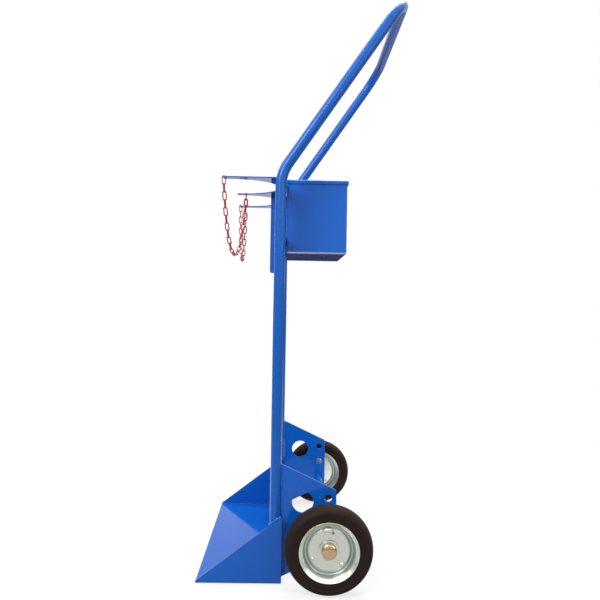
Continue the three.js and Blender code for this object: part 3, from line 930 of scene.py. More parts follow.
def lay_welds(name: str, bead: Bead, paths: Sequence[Points], closed: bool = False) -> None:
    """Lays rippled weld beads on the frame.

    Args:
        name: The piece's name.
        bead: The bead's sizes.
        paths: Where the beads run.
        closed: Whether each path ends where it starts.
    """
    tool = NodeTool(f"{name}_bead", {"Bead": bead.width, "Ripple": bead.ripple}, BLUE_ENAMEL)
    sheet = tool.sheet
    spacing = {"Curve": tool.line(), "Length": tool.entry["Ripple"]}
    spaced = sheet.put("GeometryNodeResampleCurve", "Curve", spacing, mode="LENGTH")
    ball = {"Subdivisions": DROP_DETAIL, "Radius": tool.half("Bead")}
    drop = sheet.put("GeometryNodeMeshIcoSphere", "Mesh", ball)
    limits = {2: bead.smallest, 3: bead.largest, "Seed": bead.seed}
    uneven = sheet.put("FunctionNodeRandomValue", 1, limits, data_type="FLOAT")
    spread = {"Points": spaced, "Instance": drop, "Scale": uneven}
    tool.end(sheet.put("GeometryNodeInstanceOnPoints", "Instances", spread))
    tool.run(name, path_mesh(f"{name}_path", paths, closed), Body.FRAME)


def set_studs(
    name: str, dome: Dome, places: Points, axes: tuple[Vector, Vector], body: Body, finish: Finish
) -> None:
    """Sets low domed studs on points: rivet heads and pressed ears.

    Args:
        name: The piece's name.
        dome: A stud's sizes.
        places: The studs' middles.
        axes: The directions of a stud's length and width.
        body: The CAD body that the studs ride on.
        finish: Their finish.
    """
    sizes = {"Length": dome.length, "Width": dome.width, "Height": dome.height}
    tool = NodeTool(f"{name}_press", sizes, finish)
    sheet = tool.sheet
    round_shape = {"Segments": STUD_SEGMENTS, "Rings": STUD_RINGS, "Radius": 0.5}
    ball = sheet.put("GeometryNodeMeshUVSphere", "Mesh", round_shape)
    thickness = sheet.math("MULTIPLY", tool.entry["Height"], 2.0)
    scale = {"X": tool.entry["Length"], "Y": tool.entry["Width"], "Z": thickness}
    stretch = sheet.put("ShaderNodeCombineXYZ", "Vector", scale)
    shaped = sheet.put("GeometryNodeTransform", "Geometry", {"Geometry": ball, "Scale": stretch})
    tool.end(tool.set_along_axes(shaped))
    along, across = ([axis] * len(places) for axis in axes)
    tool.run(name, point_mesh(f"{name}_points", places, along, across), body)


def chain_tool(name: str, wire: float, width: float, length: float, finish: Finish) -> NodeTool:
    """Builds the tree that sets oval links on points.

    Args:
        name: The tree's name.
        wire: The wire's diameter.
        width: A link's outer width.
        length: A link's outer length.
        finish: Its finish.

    Returns:
        The tool.
    """
    tool = NodeTool(name, {"Wire": wire, "Link Width": width, "Link Length": length}, finish)
    sheet = tool.sheet
    across = sheet.math("SUBTRACT", tool.entry["Link Width"], tool.entry["Wire"])
    along = sheet.math("SUBTRACT", tool.entry["Link Length"], tool.entry["Wire"])
    oval = sheet.put("GeometryNodeCurvePrimitiveQuadrilateral", "Curve", {"Width": along, "Height": across})
    radius = sheet.math("MULTIPLY", across, LINK_BEND)
    rounds = {"Curve": oval, "Count": LINK_BEND_STEPS, "Radius": radius}
    bent = sheet.put("GeometryNodeFilletCurve", "Curve", rounds, mode="POLY")
    return tool.end(tool.set_along_axes(tool.round_wire(bent, "Wire", LINK_SIDES, False)))


# Sub-assemblies


@dataclass(frozen=True)
class TubeFrame:
    """The bent tube, its cross tube, the notched cradle plate and the spine under it."""

    tube: float = 26.8 * MM
    tube_sides: int = 40
    bend_height: float = 983 * MM
    bend_radius: float = 100 * MM
    bend_steps: int = 16
    corner_radius: float = 75 * MM
    notch_radius: float = 106 * MM
    notch_setback: float = 16.5 * MM
    arc_steps: int = 48
    prong_width: float = 16 * MM
    prong_setback: float = 14 * MM
    horn_width: float = 24 * MM
    horn_round: float = 5 * MM
    horn_hole: float = 3.5 * MM
    horn_hole_setback: float = 6.5 * MM
    prong_hole: float = 4.5 * MM
    prong_hole_setback: float = 24 * MM
    hole_sides: int = 24
    spine_round: float = 6 * MM
    spine_weld_setback: float = 4 * MM
    weld: Bead = Bead(5 * MM, 2.2 * MM)

    def build(self) -> None:
        """Builds the frame's pieces."""
        self._tubes()
        self._cradle()
        self._spine()

    def _tubes(self) -> None:
        """Runs the bent tube and the cross tube, with a weld at each end of the latter."""
        low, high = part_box("frame_tube")
        radius = self.tube / 2
        side = high.y - radius
        left = [
            Vector((0, -side, low.z)),
            Vector((0, -side, self.bend_height)),
            Vector((high.x - radius, -side, high.z - radius)),
        ]
        radii = [self.bend_radius, self.corner_radius, self.corner_radius, self.bend_radius]
        route = rounded_route(left + mirrored(left), radii, self.bend_steps)
        rod = rod_tool("bent_tube", self.tube, self.tube_sides, TUBE_ENAMEL)
        rod.run("frame_tube_bent", path_mesh("frame_path", [route]), Body.FRAME, "frame_tube")

        low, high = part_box("upper_cross_tube")
        height = (low.z + high.z) / 2
        ends = [Vector((0, -side, height)), Vector((0, side, height))]
        rod.run("cross_tube_round", path_mesh("cross_path", [ends]), Body.FRAME, "upper_cross_tube")
        self._cross_welds(side, height)

    def _cross_welds(self, side: float, height: float) -> None:
        """Lays the weld where the cross tube meets each upright.

        Args:
            side: Distance of the uprights from the middle plane.
            height: Height of the cross tube.
        """
        radius = self.tube / 2
        rings = []
        for sign in (-1, 1):
            ring = []
            for step in range(self.arc_steps):
                turn = 2 * math.pi * step / self.arc_steps
                x, z = radius * math.cos(turn), radius * math.sin(turn)
                depth = math.sqrt(max(radius * radius - x * x, 0.0))
                ring.append(Vector((x, sign * (side - depth), height + z)))
            rings.append(ring)
        lay_welds("cross_tube_welds", self.weld, rings, closed=True)

    def _cradle(self) -> None:
        """Cuts the cradle plate with its two notches, prong and horns."""
        low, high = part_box("cradle_plate")
        prong = self.prong_width / 2
        centre_y = prong + self.notch_radius
        horn_inner = high.y - self.horn_width
        prong_tip = low.x + self.prong_setback
        notch_x = prong_tip + self.notch_setback
        half = [Vector((prong_tip, prong))]
        for step in range(self.arc_steps + 1):
            turn = math.pi * step / self.arc_steps - math.pi / 2
            half.append(Vector((
                notch_x + self.notch_radius * math.cos(turn),
                centre_y + self.notch_radius * math.sin(turn),
            )))
        tip = rounded_outline([
            Corner(notch_x, horn_inner),
            Corner(low.x, horn_inner, self.horn_round),
            Corner(low.x, high.y, self.horn_round),
            Corner(high.x, high.y),
        ])
        half += tip[1:]
        hole_x = low.x + self.horn_hole_setback
        hole_y = high.y - self.horn_width / 2
        holes = [
            circle(prong_tip + self.prong_hole_setback, 0.0, self.prong_hole, self.hole_sides),
            circle(hole_x, hole_y, self.horn_hole, self.hole_sides),
            circle(hole_x, -hole_y, self.horn_hole, self.hole_sides),
        ]
        cradle = plate("cradle_plate_cut", half + mirrored(half), holes, Plane.LEVEL, (low.z, high.z))
        keep(cradle, Body.FRAME, BLUE_ENAMEL, "cradle_plate")

    def _spine(self) -> None:
        """Cuts the spine plate and lays its weld under the prong."""
        low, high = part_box("cradle_spine")
        outline = rounded_outline([
            Corner(low.x, low.z, self.spine_round),
            Corner(high.x, low.z),
            Corner(high.x, high.z),
            Corner(low.x, high.z),
        ])
        spine = plate("cradle_spine_cut", outline, [], Plane.UPRIGHT, (-high.y, -low.y))
        keep(spine, Body.FRAME, BLUE_ENAMEL, "cradle_spine")
        ends = (low.x + self.spine_weld_setback, -self.tube / 2)
        paths = [[Vector((x, y, high.z)) for x in ends] for y in (low.y, high.y)]
        lay_welds("spine_welds", self.weld, paths)


@dataclass(frozen=True)
class ToeScoop:
    """The toe scoop: one sheet bent up at both sides, with a low plate between the uprights."""

    sheet: float = 4 * MM
    bend: float = 3 * MM
    lip: float = 6 * MM
    flat_top: float = 6 * MM
    bend_steps: int = 8
    edge: float = 0.8 * MM
    seam_weld: Bead = Bead(5.5 * MM, 2.4 * MM)
    seam_foot: float = 20 * MM
    top_weld: Bead = Bead(10 * MM, 4.5 * MM)
    top_weld_reach: float = 0.85
    tube_radius: float = 13.4 * MM

    def build(self) -> None:
        """Builds the scoop's pieces."""
        self._scoop()
        self._back()
        self._welds()

    def _height(self, x: float) -> float:
        """Height of a side's sloping edge.

        Args:
            x: Place along the scoop.

        Returns:
            The height above the floor.
        """
        low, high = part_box("toe_side_left")
        share = (x - low.x) / (high.x - self.flat_top - low.x)
        return self.lip + (high.z - self.lip) * min(share, 1.0)

    def _scoop(self) -> None:
        """Bends the floor and the two sides from one sheet."""
        low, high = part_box("toe_side_left")
        outer = -low.y - self.sheet / 2
        stations = (low.x, high.x - self.flat_top, high.x)
        shape = bmesh.new()
        rows = [[shape.verts.new(place) for place in self._section(x, outer)] for x in stations]
        for first, second in zip(rows, rows[1:]):
            for index in range(len(first) - 1):
                shape.faces.new((first[index], first[index + 1], second[index + 1], second[index]))
        bmesh.ops.remove_doubles(shape, verts=shape.verts, dist=TOUCHING)
        scoop = piece_from("toe_scoop_bent", mesh_from("toe_scoop_bent", shape))
        soften_edges(thicken(scoop, self.sheet, 0.0), self.edge)
        keep(scoop, Body.FRAME, BLUE_ENAMEL, "toe_plate", "toe_side_left", "toe_side_right")

    def _section(self, x: float, outer: float) -> Points:
        """Gives the sheet's middle line across the cart at one place.

        Args:
            x: Place along the scoop.
            outer: Distance of a side's middle line from the middle plane.

        Returns:
            The points from the left edge to the right edge.
        """
        floor = self.sheet / 2
        right = []
        for step in range(self.bend_steps + 1):
            turn = math.pi / 2 * step / self.bend_steps
            right.append(Vector((
                x,
                outer - self.bend + self.bend * math.sin(turn),
                floor + self.bend * (1.0 - math.cos(turn)),
            )))
        right.append(Vector((x, outer, self._height(x))))
        return mirrored(right) + right

    def _back(self) -> None:
        """Cuts the low plate between the uprights."""
        low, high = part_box("toe_back_plate")
        corners = ((low.y, low.z), (high.y, low.z), (high.y, high.z), (low.y, high.z))
        outline = [Vector(corner) for corner in corners]
        back = plate("toe_back_cut", outline, [], Plane.ACROSS, (low.x, high.x))
        keep(back, Body.FRAME, BLUE_ENAMEL, "toe_back_plate")

    def _welds(self) -> None:
        """Lays the welds between the sides, the uprights and the floor."""
        _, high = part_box("toe_side_left")
        front = -self.top_weld_reach * self.tube_radius
        tops, seams = [], []
        for side in Side:
            y = side.value * -high.y
            edge = [Vector((x, y, self._height(x))) for x in (front, -front)]
            tops.append(edge)
            seams.append([Vector((front, y, self.seam_foot)), edge[0]])
        lay_welds("toe_top_welds", self.top_weld, tops)
        lay_welds("toe_seam_welds", self.seam_weld, seams)


@dataclass(frozen=True)
class WheelBrackets:
    """The pierced plates behind the uprights that carry the axle."""

    rear_rise: float = 118 * MM
    rear_drop: float = 27 * MM
    corner: float = 9 * MM
    corner_steps: int = 8
    bore: float = 10.3 * MM
    large_hole: float = 26 * MM
    large_forward: float = 61 * MM
    large_rise: float = 89 * MM
    large_sides: int = 56
    small_hole: float = 9 * MM
    small_behind: float = 1 * MM
    small_rise: float = 49.5 * MM
    stud_forward: float = 21 * MM
    stud: Dome = Dome(9 * MM, 9 * MM, 3 * MM)
    pilot_hole: float = 3 * MM
    pilot_sides: int = 20
    weld: Bead = Bead(4.5 * MM, 2.0 * MM)
    low_weld: tuple[float, float] = (60 * MM, 110 * MM)
    high_weld: tuple[float, float] = (60 * MM, 10 * MM)

    def build(self, axle: Axis) -> None:
        """Builds both brackets, their welds and their studs.

        Args:
            axle: The axle's axis.
        """
        small_x = axle.x + self.small_behind
        stud_x = small_x - self.stud_forward
        first_z, second_z = axle.z + self.small_rise, axle.z + 2 * self.small_rise
        large_x, large_z = axle.x - self.large_forward, axle.z + self.large_rise
        holes = [
            circle(axle.x, axle.z, self.bore),
            circle(large_x, large_z, self.large_hole, self.large_sides),
            circle(small_x, first_z, self.small_hole),
            circle(small_x, second_z, self.small_hole),
            circle(stud_x, first_z, self.pilot_hole, self.pilot_sides),
        ]
        welds = []
        studs = []
        for side in Side:
            node = f"wheel_bracket_{side.label}"
            low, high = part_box(node)
            outline = rounded_outline([
                Corner(low.x, low.z),
                Corner(high.x, axle.z - self.rear_drop, self.corner),
                Corner(high.x, axle.z + self.rear_rise, self.corner),
                Corner(low.x, high.z),
            ], self.corner_steps)
            cut = plate(f"{node}_cut", outline, holes, Plane.UPRIGHT, (-high.y, -low.y))
            keep(cut, Body.FRAME, BLUE_ENAMEL, node)
            outer = high.y if side is Side.RIGHT else low.y
            studs.append(Vector((stud_x, outer, second_z)))
            for y in (low.y, high.y):
                welds.append([Vector((low.x, y, rise)) for rise in self.low_weld])
                welds.append([Vector((low.x, y, high.z - drop)) for drop in self.high_weld])
        lay_welds("wheel_bracket_welds", self.weld, welds)
        set_studs("wheel_bracket_studs", self.stud, studs, (X_WAY, Z_WAY), Body.FRAME, BLUE_ENAMEL)


@dataclass(frozen=True)
class AxleGear:
    """The axle and what stays still on it: spacers, washers and caps."""

    chamfer: float = 1.5 * MM
    edge: float = 0.6 * MM
    bore: float = 10.3 * MM
    rod_sides: int = 48
    ring_sides: int = 64
    cap_rim: float = 8 * MM
    dimple: float = 3.4 * MM
    dimple_depth: float = 1.6 * MM
    dimple_drop: float = 0.2 * MM
    dimple_round: float = 0.4 * MM
    dome_steps: int = 14

    def build(self, axle: Axis) -> None:
        """Builds the axle's pieces.

        Args:
            axle: The axle's axis.
        """
        low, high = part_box("axle")
        radius = (high.z - low.z) / 2
        rod = turned("axle_rod", [
            Corner(0.0, low.y),
            Corner(radius - self.chamfer, low.y),
            Corner(radius, low.y + self.chamfer),
            Corner(radius, high.y - self.chamfer),
            Corner(radius - self.chamfer, high.y),
            Corner(0.0, high.y),
        ], axle, self.rod_sides)
        keep(rod, Body.FRAME, BLUE_ENAMEL, "axle")
        rings = (("axle_spacer", BLUE_ENAMEL), ("inner_washer", ZINC_PLATE), ("outer_washer", ZINC_PLATE))
        for side in Side:
            for kind, finish in rings:
                self._ring(f"{kind}_{side.label}", axle, finish)
            self._cap(side, axle)

    def _ring(self, node: str, axle: Axis, finish: Finish) -> None:
        """Turns a spacer or washer.

        Args:
            node: The CAD node that it stands for.
            axle: The axle's axis.
            finish: Its finish.
        """
        low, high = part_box(node)
        section = sleeve_section(self.bore, (high.x - low.x) / 2, (low.y, high.y), self.edge)
        keep(turned(f"{node}_ring", section, axle, self.ring_sides), Body.FRAME, finish, node)

    def _cap(self, side: Side, axle: Axis) -> None:
        """Turns the domed cap on one end of the axle.

        Args:
            side: The side.
            axle: The axle's axis.
        """
        node = f"axle_cap_{side.label}"
        low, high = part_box(node)
        radius = (high.x - low.x) / 2
        start, tip = (low.y, high.y) if side is Side.RIGHT else (high.y, low.y)
        out = float(side.value)
        shoulder = start + out * self.cap_rim
        rise = abs(tip - shoulder)
        profile = [Corner(0.0, start + out * self.edge), Corner(radius, start, self.edge)]
        for step in range(self.dome_steps):
            turn = step / self.dome_steps * math.pi / 2
            across = radius * math.cos(turn)
            if across > 2 * self.dimple:
                profile.append(Corner(across, shoulder + out * rise * math.sin(turn)))
        profile.append(Corner(self.dimple, tip - out * self.dimple_drop, self.dimple_round))
        profile.append(Corner(0.0, tip - out * self.dimple_depth))
        cap = turned(f"{node}_dome", profile, axle, self.ring_sides)
        # The cap's tan colour is a painted reflection of a brown floor.
        keep(cap, Body.FRAME, CAP_TAN_REFLECTION, node)


@dataclass(frozen=True)
class Wheel:
    """One wheel: a solid tyre on two pressed half rims, a hub sleeve and its bushes.

    A pair of rounds is for a half rim's back and its face.
    """

    side: Side
    rim: float = 70.5 * MM
    sheet: float = 2 * MM
    seat: float = 63 * MM
    seat_reach: float = 15 * MM
    seat_rounds: tuple[float, float] = (5 * MM, 7 * MM)
    flange_reach: float = 22 * MM
    groove_outer: float = 57 * MM
    groove_outer_rounds: tuple[float, float] = (3 * MM, 2 * MM)
    groove_inner: float = 52 * MM
    groove_inner_rounds: tuple[float, float] = (1 * MM, 1.2 * MM)
    disc: float = 48 * MM
    disc_reach: float = 3 * MM
    disc_rounds: tuple[float, float] = (2 * MM, 1.5 * MM)
    hub: float = 19 * MM
    hub_wall: float = 3.7 * MM
    bore: float = 10.3 * MM
    clearance: float = 0.3 * MM
    shoulder: float = 13 * MM
    crown_steps: int = 9
    tyre_sides: int = 128
    rim_sides: int = 96
    hub_sides: int = 64
    round_steps: int = 6
    wall_line: float = 87 * MM
    wall_slope: float = 2 * MM
    wall_drop: float = 1.2 * MM
    wall_round: float = 2 * MM
    wall_foot_round: float = 3 * MM
    lip_slope: float = 0.8 * MM
    lip_round: float = 1 * MM
    ears: tuple[Ear, ...] = (
        Ear(94.0, 46.5 * MM, Dome(26 * MM, 14 * MM, 6.5 * MM)),
        Ear(209.0, 42 * MM, Dome(9 * MM, 7 * MM, 4 * MM)),
        Ear(313.0, 42 * MM, Dome(9 * MM, 7 * MM, 4 * MM)),
    )
    vent_angle: float = 77.0
    vent_radius: float = 40.5 * MM
    vent: float = 2.8 * MM
    vent_sides: int = 20
    edge: float = 0.5 * MM

    def build(self, axle: Axis) -> None:
        """Builds the wheel's pieces.

        Args:
            axle: The axle's axis.
        """
        low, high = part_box(f"tyre_{self.side.label}")
        centre = (low.y + high.y) / 2
        half = (high.y - low.y) / 2
        self._tyre(axle, centre, half, (high.z - low.z) / 2)
        for label, outward in (("outer", 1), ("inner", -1)):
            self._half_rim(label, axle, centre, self.side.value * outward)
        self._hub(axle)

    def _tyre(self, axle: Axis, centre: float, half: float, tread: float) -> None:
        """Turns the tyre, with a moulded step on each wall and a round crown.

        Args:
            axle: The axle's axis.
            centre: The wheel's middle plane.
            half: Half the tyre's width.
            tread: The tyre's outer radius.
        """
        lip = self.rim + self.clearance
        one_wall = [
            Corner(self.seat + self.clearance, self.seat_reach - self.clearance),
            Corner(lip, self.flange_reach - self.clearance),
            Corner(lip + self.lip_slope, half - self.wall_drop, self.lip_round),
            Corner(self.wall_line - self.wall_slope, half - self.wall_drop, self.wall_foot_round),
            Corner(self.wall_line, half, self.wall_round),
        ]
        for step in range(self.crown_steps, 0, -1):
            turn = step / self.crown_steps * math.pi / 2
            one_wall.append(Corner(tread - self.shoulder * (1.0 - math.cos(turn)), half * math.sin(turn)))
        other = [Corner(item.u, -item.v, item.round) for item in reversed(one_wall)]
        section = (*one_wall, Corner(tread, 0.0), *other)
        profile = [Corner(item.u, centre + item.v, item.round) for item in section]
        node = f"tyre_{self.side.label}"
        tyre = turned(f"{node}_moulded", profile, axle, self.tyre_sides, self.round_steps)
        keep(tyre, self.side.wheel, TYRE_RUBBER, node)

    def _half_rim(self, label: str, axle: Axis, centre: float, out: int) -> None:
        """Presses one half rim, with its groove, disc and three ears.

        Args:
            label: Outer or inner.
            axle: The axle's axis.
            centre: The wheel's middle plane.
            out: The direction along Y that its open face looks to.
        """
        node = f"rim_{label}_{self.side.label}"
        groove = self.clearance / 2
        hub_hole = self.hub + self.clearance
        sheet = self.sheet
        section = [
            Corner(hub_hole, self.disc_reach),
            Corner(self.disc - sheet / 2, self.disc_reach, self.disc_rounds[0]),
            Corner(self.groove_inner, groove, self.groove_inner_rounds[0]),
            Corner(self.groove_outer + sheet, groove, self.groove_outer_rounds[0]),
            Corner(self.seat, self.seat_reach, self.seat_rounds[0]),
            Corner(self.rim, self.flange_reach, self.edge),
            Corner(self.rim - sheet / 2, self.flange_reach + sheet / 2, self.edge),
            Corner(self.seat - sheet, self.seat_reach + sheet / 2, self.seat_rounds[1]),
            Corner(self.groove_outer, groove + sheet, self.groove_outer_rounds[1]),
            Corner(self.groove_inner + sheet / 2, groove + sheet, self.groove_inner_rounds[1]),
            Corner(self.disc, self.disc_reach + sheet, self.disc_rounds[1]),
            Corner(hub_hole, self.disc_reach + sheet),
        ]
        profile = [Corner(item.u, centre + out * item.v, item.round) for item in section]
        disc = turned(f"{node}_pressed", profile, axle, self.rim_sides, self.round_steps)
        face = centre + out * (self.disc_reach + sheet / 2)
        self._vent(disc, axle, face)
        # The half rim's groove is darkened by painted shade in its finish.
        keep(disc, self.side.wheel, RIM_ZINC_GROOVE_SHADE, node)
        for number, ear in enumerate(self.ears, 1):
            turn = math.radians(ear.angle)
            radial = Vector((math.cos(turn), 0.0, math.sin(turn)))
            place = Vector((axle.x, face, axle.z)) + radial * ear.radius
            along = Vector((-radial.z, 0.0, radial.x))
            name = f"{node}_ear_{number}"
            set_studs(name, ear.dome, [place], (along, radial), self.side.wheel, ZINC_PLATE)

    def _vent(self, disc: Object, axle: Axis, face: float) -> None:
        """Cuts the small hole through a half rim's disc.

        Args:
            disc: The half rim.
            axle: The axle's axis.
            face: Where the disc's middle lies along Y.
        """
        turn = math.radians(self.vent_angle)
        x = axle.x + self.vent_radius * math.cos(turn)
        z = axle.z + self.vent_radius * math.sin(turn)
        section = pin_section(self.vent, (face - self.sheet, face + self.sheet))
        drill = turned("vent_drill", section, Axis(x, z), self.vent_sides)
        cut = disc.modifiers.new("vent", "BOOLEAN")
        cut.operation = "DIFFERENCE"
        cut.solver = "EXACT"
        cut.object = drill
        settle(disc, CRISP_TURNED)
        bpy.data.objects.remove(drill)

    def _hub(self, axle: Axis) -> None:
        """Turns the hub sleeve and its two bushes.

        Args:
            axle: The axle's axis.
        """
        inner = self.hub - self.hub_wall
        bush = inner - self.clearance
        for kind, bore, outer, finish in (
            ("hub_sleeve", inner, self.hub, ZINC_PLATE),
            ("outer_bush", self.bore, bush, TURNED_STEEL),
            ("inner_bush", self.bore, bush, TURNED_STEEL),
        ):
            node = f"{kind}_{self.side.label}"
            low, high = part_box(node)
            section = sleeve_section(bore, outer, (low.y, high.y), self.edge)
            keep(turned(f"{node}_turned", section, axle, self.hub_sides), self.side.wheel, finish, node)


@dataclass(frozen=True)
class Toolbox:
    """The sheet-metal toolbox, its lid and the lid's two hinges."""

    sheet: float = 1.5 * MM
    bend: float = 17 * MM
    bend_profile: float = 0.3
    bend_steps: int = 6
    sharp_bend: float = 1.0
    corner: float = 5 * MM
    corner_profile: float = 0.5
    floor_flattening: float = 0.17
    lid_bend: float = 2.5 * MM
    edge: float = 0.4 * MM
    knuckle: float = 3 * MM
    knuckle_gap: float = 0.3 * MM
    leaf_gap: float = 0.5 * MM
    leaf_round: float = 2 * MM
    pin: float = 1.4 * MM
    pin_round: float = 0.3 * MM
    barrel_round: float = 0.2 * MM
    barrel_gap: float = 0.2 * MM
    hinge_sides: int = 24
    end_knuckle: float = 15 * MM
    leaf: float = 1.5 * MM
    rivet: Dome = Dome(5 * MM, 5 * MM, 1.2 * MM)
    rivet_shares: tuple[float, ...] = (0.2, 0.5, 0.8)

    def build(self) -> None:
        """Builds the toolbox's pieces."""
        low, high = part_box("toolbox_body")
        body = self._shell("toolbox_bent", low, high, [Z_WAY], self.bend, (0,))
        # The body's flat underside is darkened by painted shade in its finish.
        keep(body, Body.FRAME, BOX_ENAMEL_UNDERSIDE_SHADE, "toolbox_body")
        low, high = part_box("toolbox_lid")
        lid = self._shell("toolbox_lid_bent", low, high, [-Z_WAY, -X_WAY], self.lid_bend, (0, 1))
        keep(lid, Body.LID, BLUE_ENAMEL, "toolbox_lid")
        for side in Side:
            self._hinge(side.label)

    def _shell(
        self,
        name: str,
        low: Vector,
        high: Vector,
        open_faces: Sequence[Vector],
        bend: float,
        level_bends: Sequence[int],
    ) -> Object:
        """Bends an open box from sheet.

        Args:
            name: The piece's name.
            low: The box's lowest corner.
            high: Its highest corner.
            open_faces: Outward directions of the faces that are left out.
            bend: Outside reach of the level bends.
            level_bends: Numbers of the axes that the rounded level bends run along.

        Returns:
            The sheet-metal shell.
        """
        shape = bmesh.new()
        bmesh.ops.create_cube(shape, size=1.0)
        for vert in shape.verts:
            vert.co = Vector(high[i] if vert.co[i] > 0 else low[i] for i in range(3))
        shape.normal_update()
        gone = [face for face in shape.faces if any(face.normal.dot(way) > SAME_WAY for way in open_faces)]
        bmesh.ops.delete(shape, geom=gone, context="FACES")
        self._round(shape, bend, self.bend_profile, level_bends)
        for vert in shape.verts:
            if vert.co.z - low.z < bend + TOUCHING:
                vert.co.z = low.z + (vert.co.z - low.z) * self.floor_flattening
        self._round(shape, min(bend, self.corner), self.corner_profile, (2,))
        shell = piece_from(name, mesh_from(name, shape, False))
        return soften_edges(thicken(shell, self.sheet, -1.0), self.edge)

    def _round(self, shape: bmesh.types.BMesh, offset: float, profile: float, axes: Sequence[int]) -> None:
        """Rounds a shell's sharp bends along some axes.

        Args:
            shape: The shell.
            offset: How far the round reaches from the bend.
            profile: The round's fullness.
            axes: Numbers of the axes.
        """
        bends = []
        for edge in shape.edges:
            span = edge.verts[1].co - edge.verts[0].co
            axis = max(range(3), key=lambda i: abs(span[i]))
            if axis in axes and len(edge.link_faces) == 2 and edge.calc_face_angle() > self.sharp_bend:
                bends.append(edge)
        bmesh.ops.bevel(
            shape,
            geom=bends,
            offset=offset,
            offset_type="OFFSET",
            segments=self.bend_steps,
            profile=profile,
            affect="EDGES",
        )

    def _hinge(self, label: str) -> None:
        """Makes one hinge: two leaves with barrels, a pin and its rivets.

        Args:
            label: Its side's name.
        """
        low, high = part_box(f"hinge_pin_{label}")
        axis = Axis((low.x + high.x) / 2, (low.z + high.z) / 2)
        start, end = ends = (low.y, high.y)
        first, second = start + self.end_knuckle, end - self.end_knuckle
        section = pin_section(self.pin, ends, self.pin_round)
        pin = turned(f"hinge_pin_{label}_turned", section, axis, self.hinge_sides)
        keep(pin, Body.FRAME, TURNED_STEEL, f"hinge_pin_{label}")

        low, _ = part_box(f"hinge_fixed_{label}")
        drop = axis.z - self.knuckle - self.leaf_gap
        outline = [Corner(start, low.z, self.leaf_round), Corner(end, low.z, self.leaf_round)]
        outline += [Corner(end, axis.z), Corner(second, axis.z), Corner(second, drop)]
        outline += [Corner(first, drop), Corner(first, axis.z), Corner(start, axis.z)]
        face = axis.x + self.knuckle
        fixed = self._leaf(f"hinge_fixed_{label}", outline, Plane.ACROSS, face)
        barrels = [self._barrel(axis, span) for span in ((start, first), (second, end))]
        rolled = joined(f"hinge_fixed_{label}_rolled", [fixed, *barrels])
        keep(rolled, Body.FRAME, BLUE_ENAMEL, f"hinge_fixed_{label}")

        _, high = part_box(f"hinge_moving_{label}")
        top = axis.z + self.knuckle
        back = face + self.leaf_gap
        outline = [Corner(high.x, start, self.leaf_round), Corner(high.x, end, self.leaf_round)]
        outline += [Corner(back, end), Corner(back, second), Corner(axis.x, second)]
        outline += [Corner(axis.x, first), Corner(back, first), Corner(back, start)]
        moving = self._leaf(f"hinge_moving_{label}", outline, Plane.LEVEL, top)
        barrel = self._barrel(axis, (first + self.knuckle_gap, second - self.knuckle_gap))
        rolled = joined(f"hinge_moving_{label}_rolled", [moving, barrel])
        keep(rolled, Body.LID, BLUE_ENAMEL, f"hinge_moving_{label}")

        middle = (back + high.x) / 2
        rivets = [Vector((middle, start + (end - start) * share, top)) for share in self.rivet_shares]
        set_studs(f"hinge_rivets_{label}", self.rivet, rivets, (X_WAY, Y_WAY), Body.LID, BLUE_ENAMEL)

    def _leaf(self, node: str, outline: Sequence[Corner], plane: Plane, face: float) -> Object:
        """Cuts one leaf of a hinge, with its outer face at a place along the plane's normal."""
        faces = (face - self.leaf, face)
        return plate(f"{node}_leaf", rounded_outline(outline), [], plane, faces, self.edge)

    def _barrel(self, axis: Axis, ends: tuple[float, float]) -> Object:
        """Rolls one barrel of a hinge, between two places along the pin's axis."""
        section = sleeve_section(self.pin + self.barrel_gap, self.knuckle, ends, self.barrel_round)
        return turned("hinge_barrel", section, axis, self.hinge_sides)


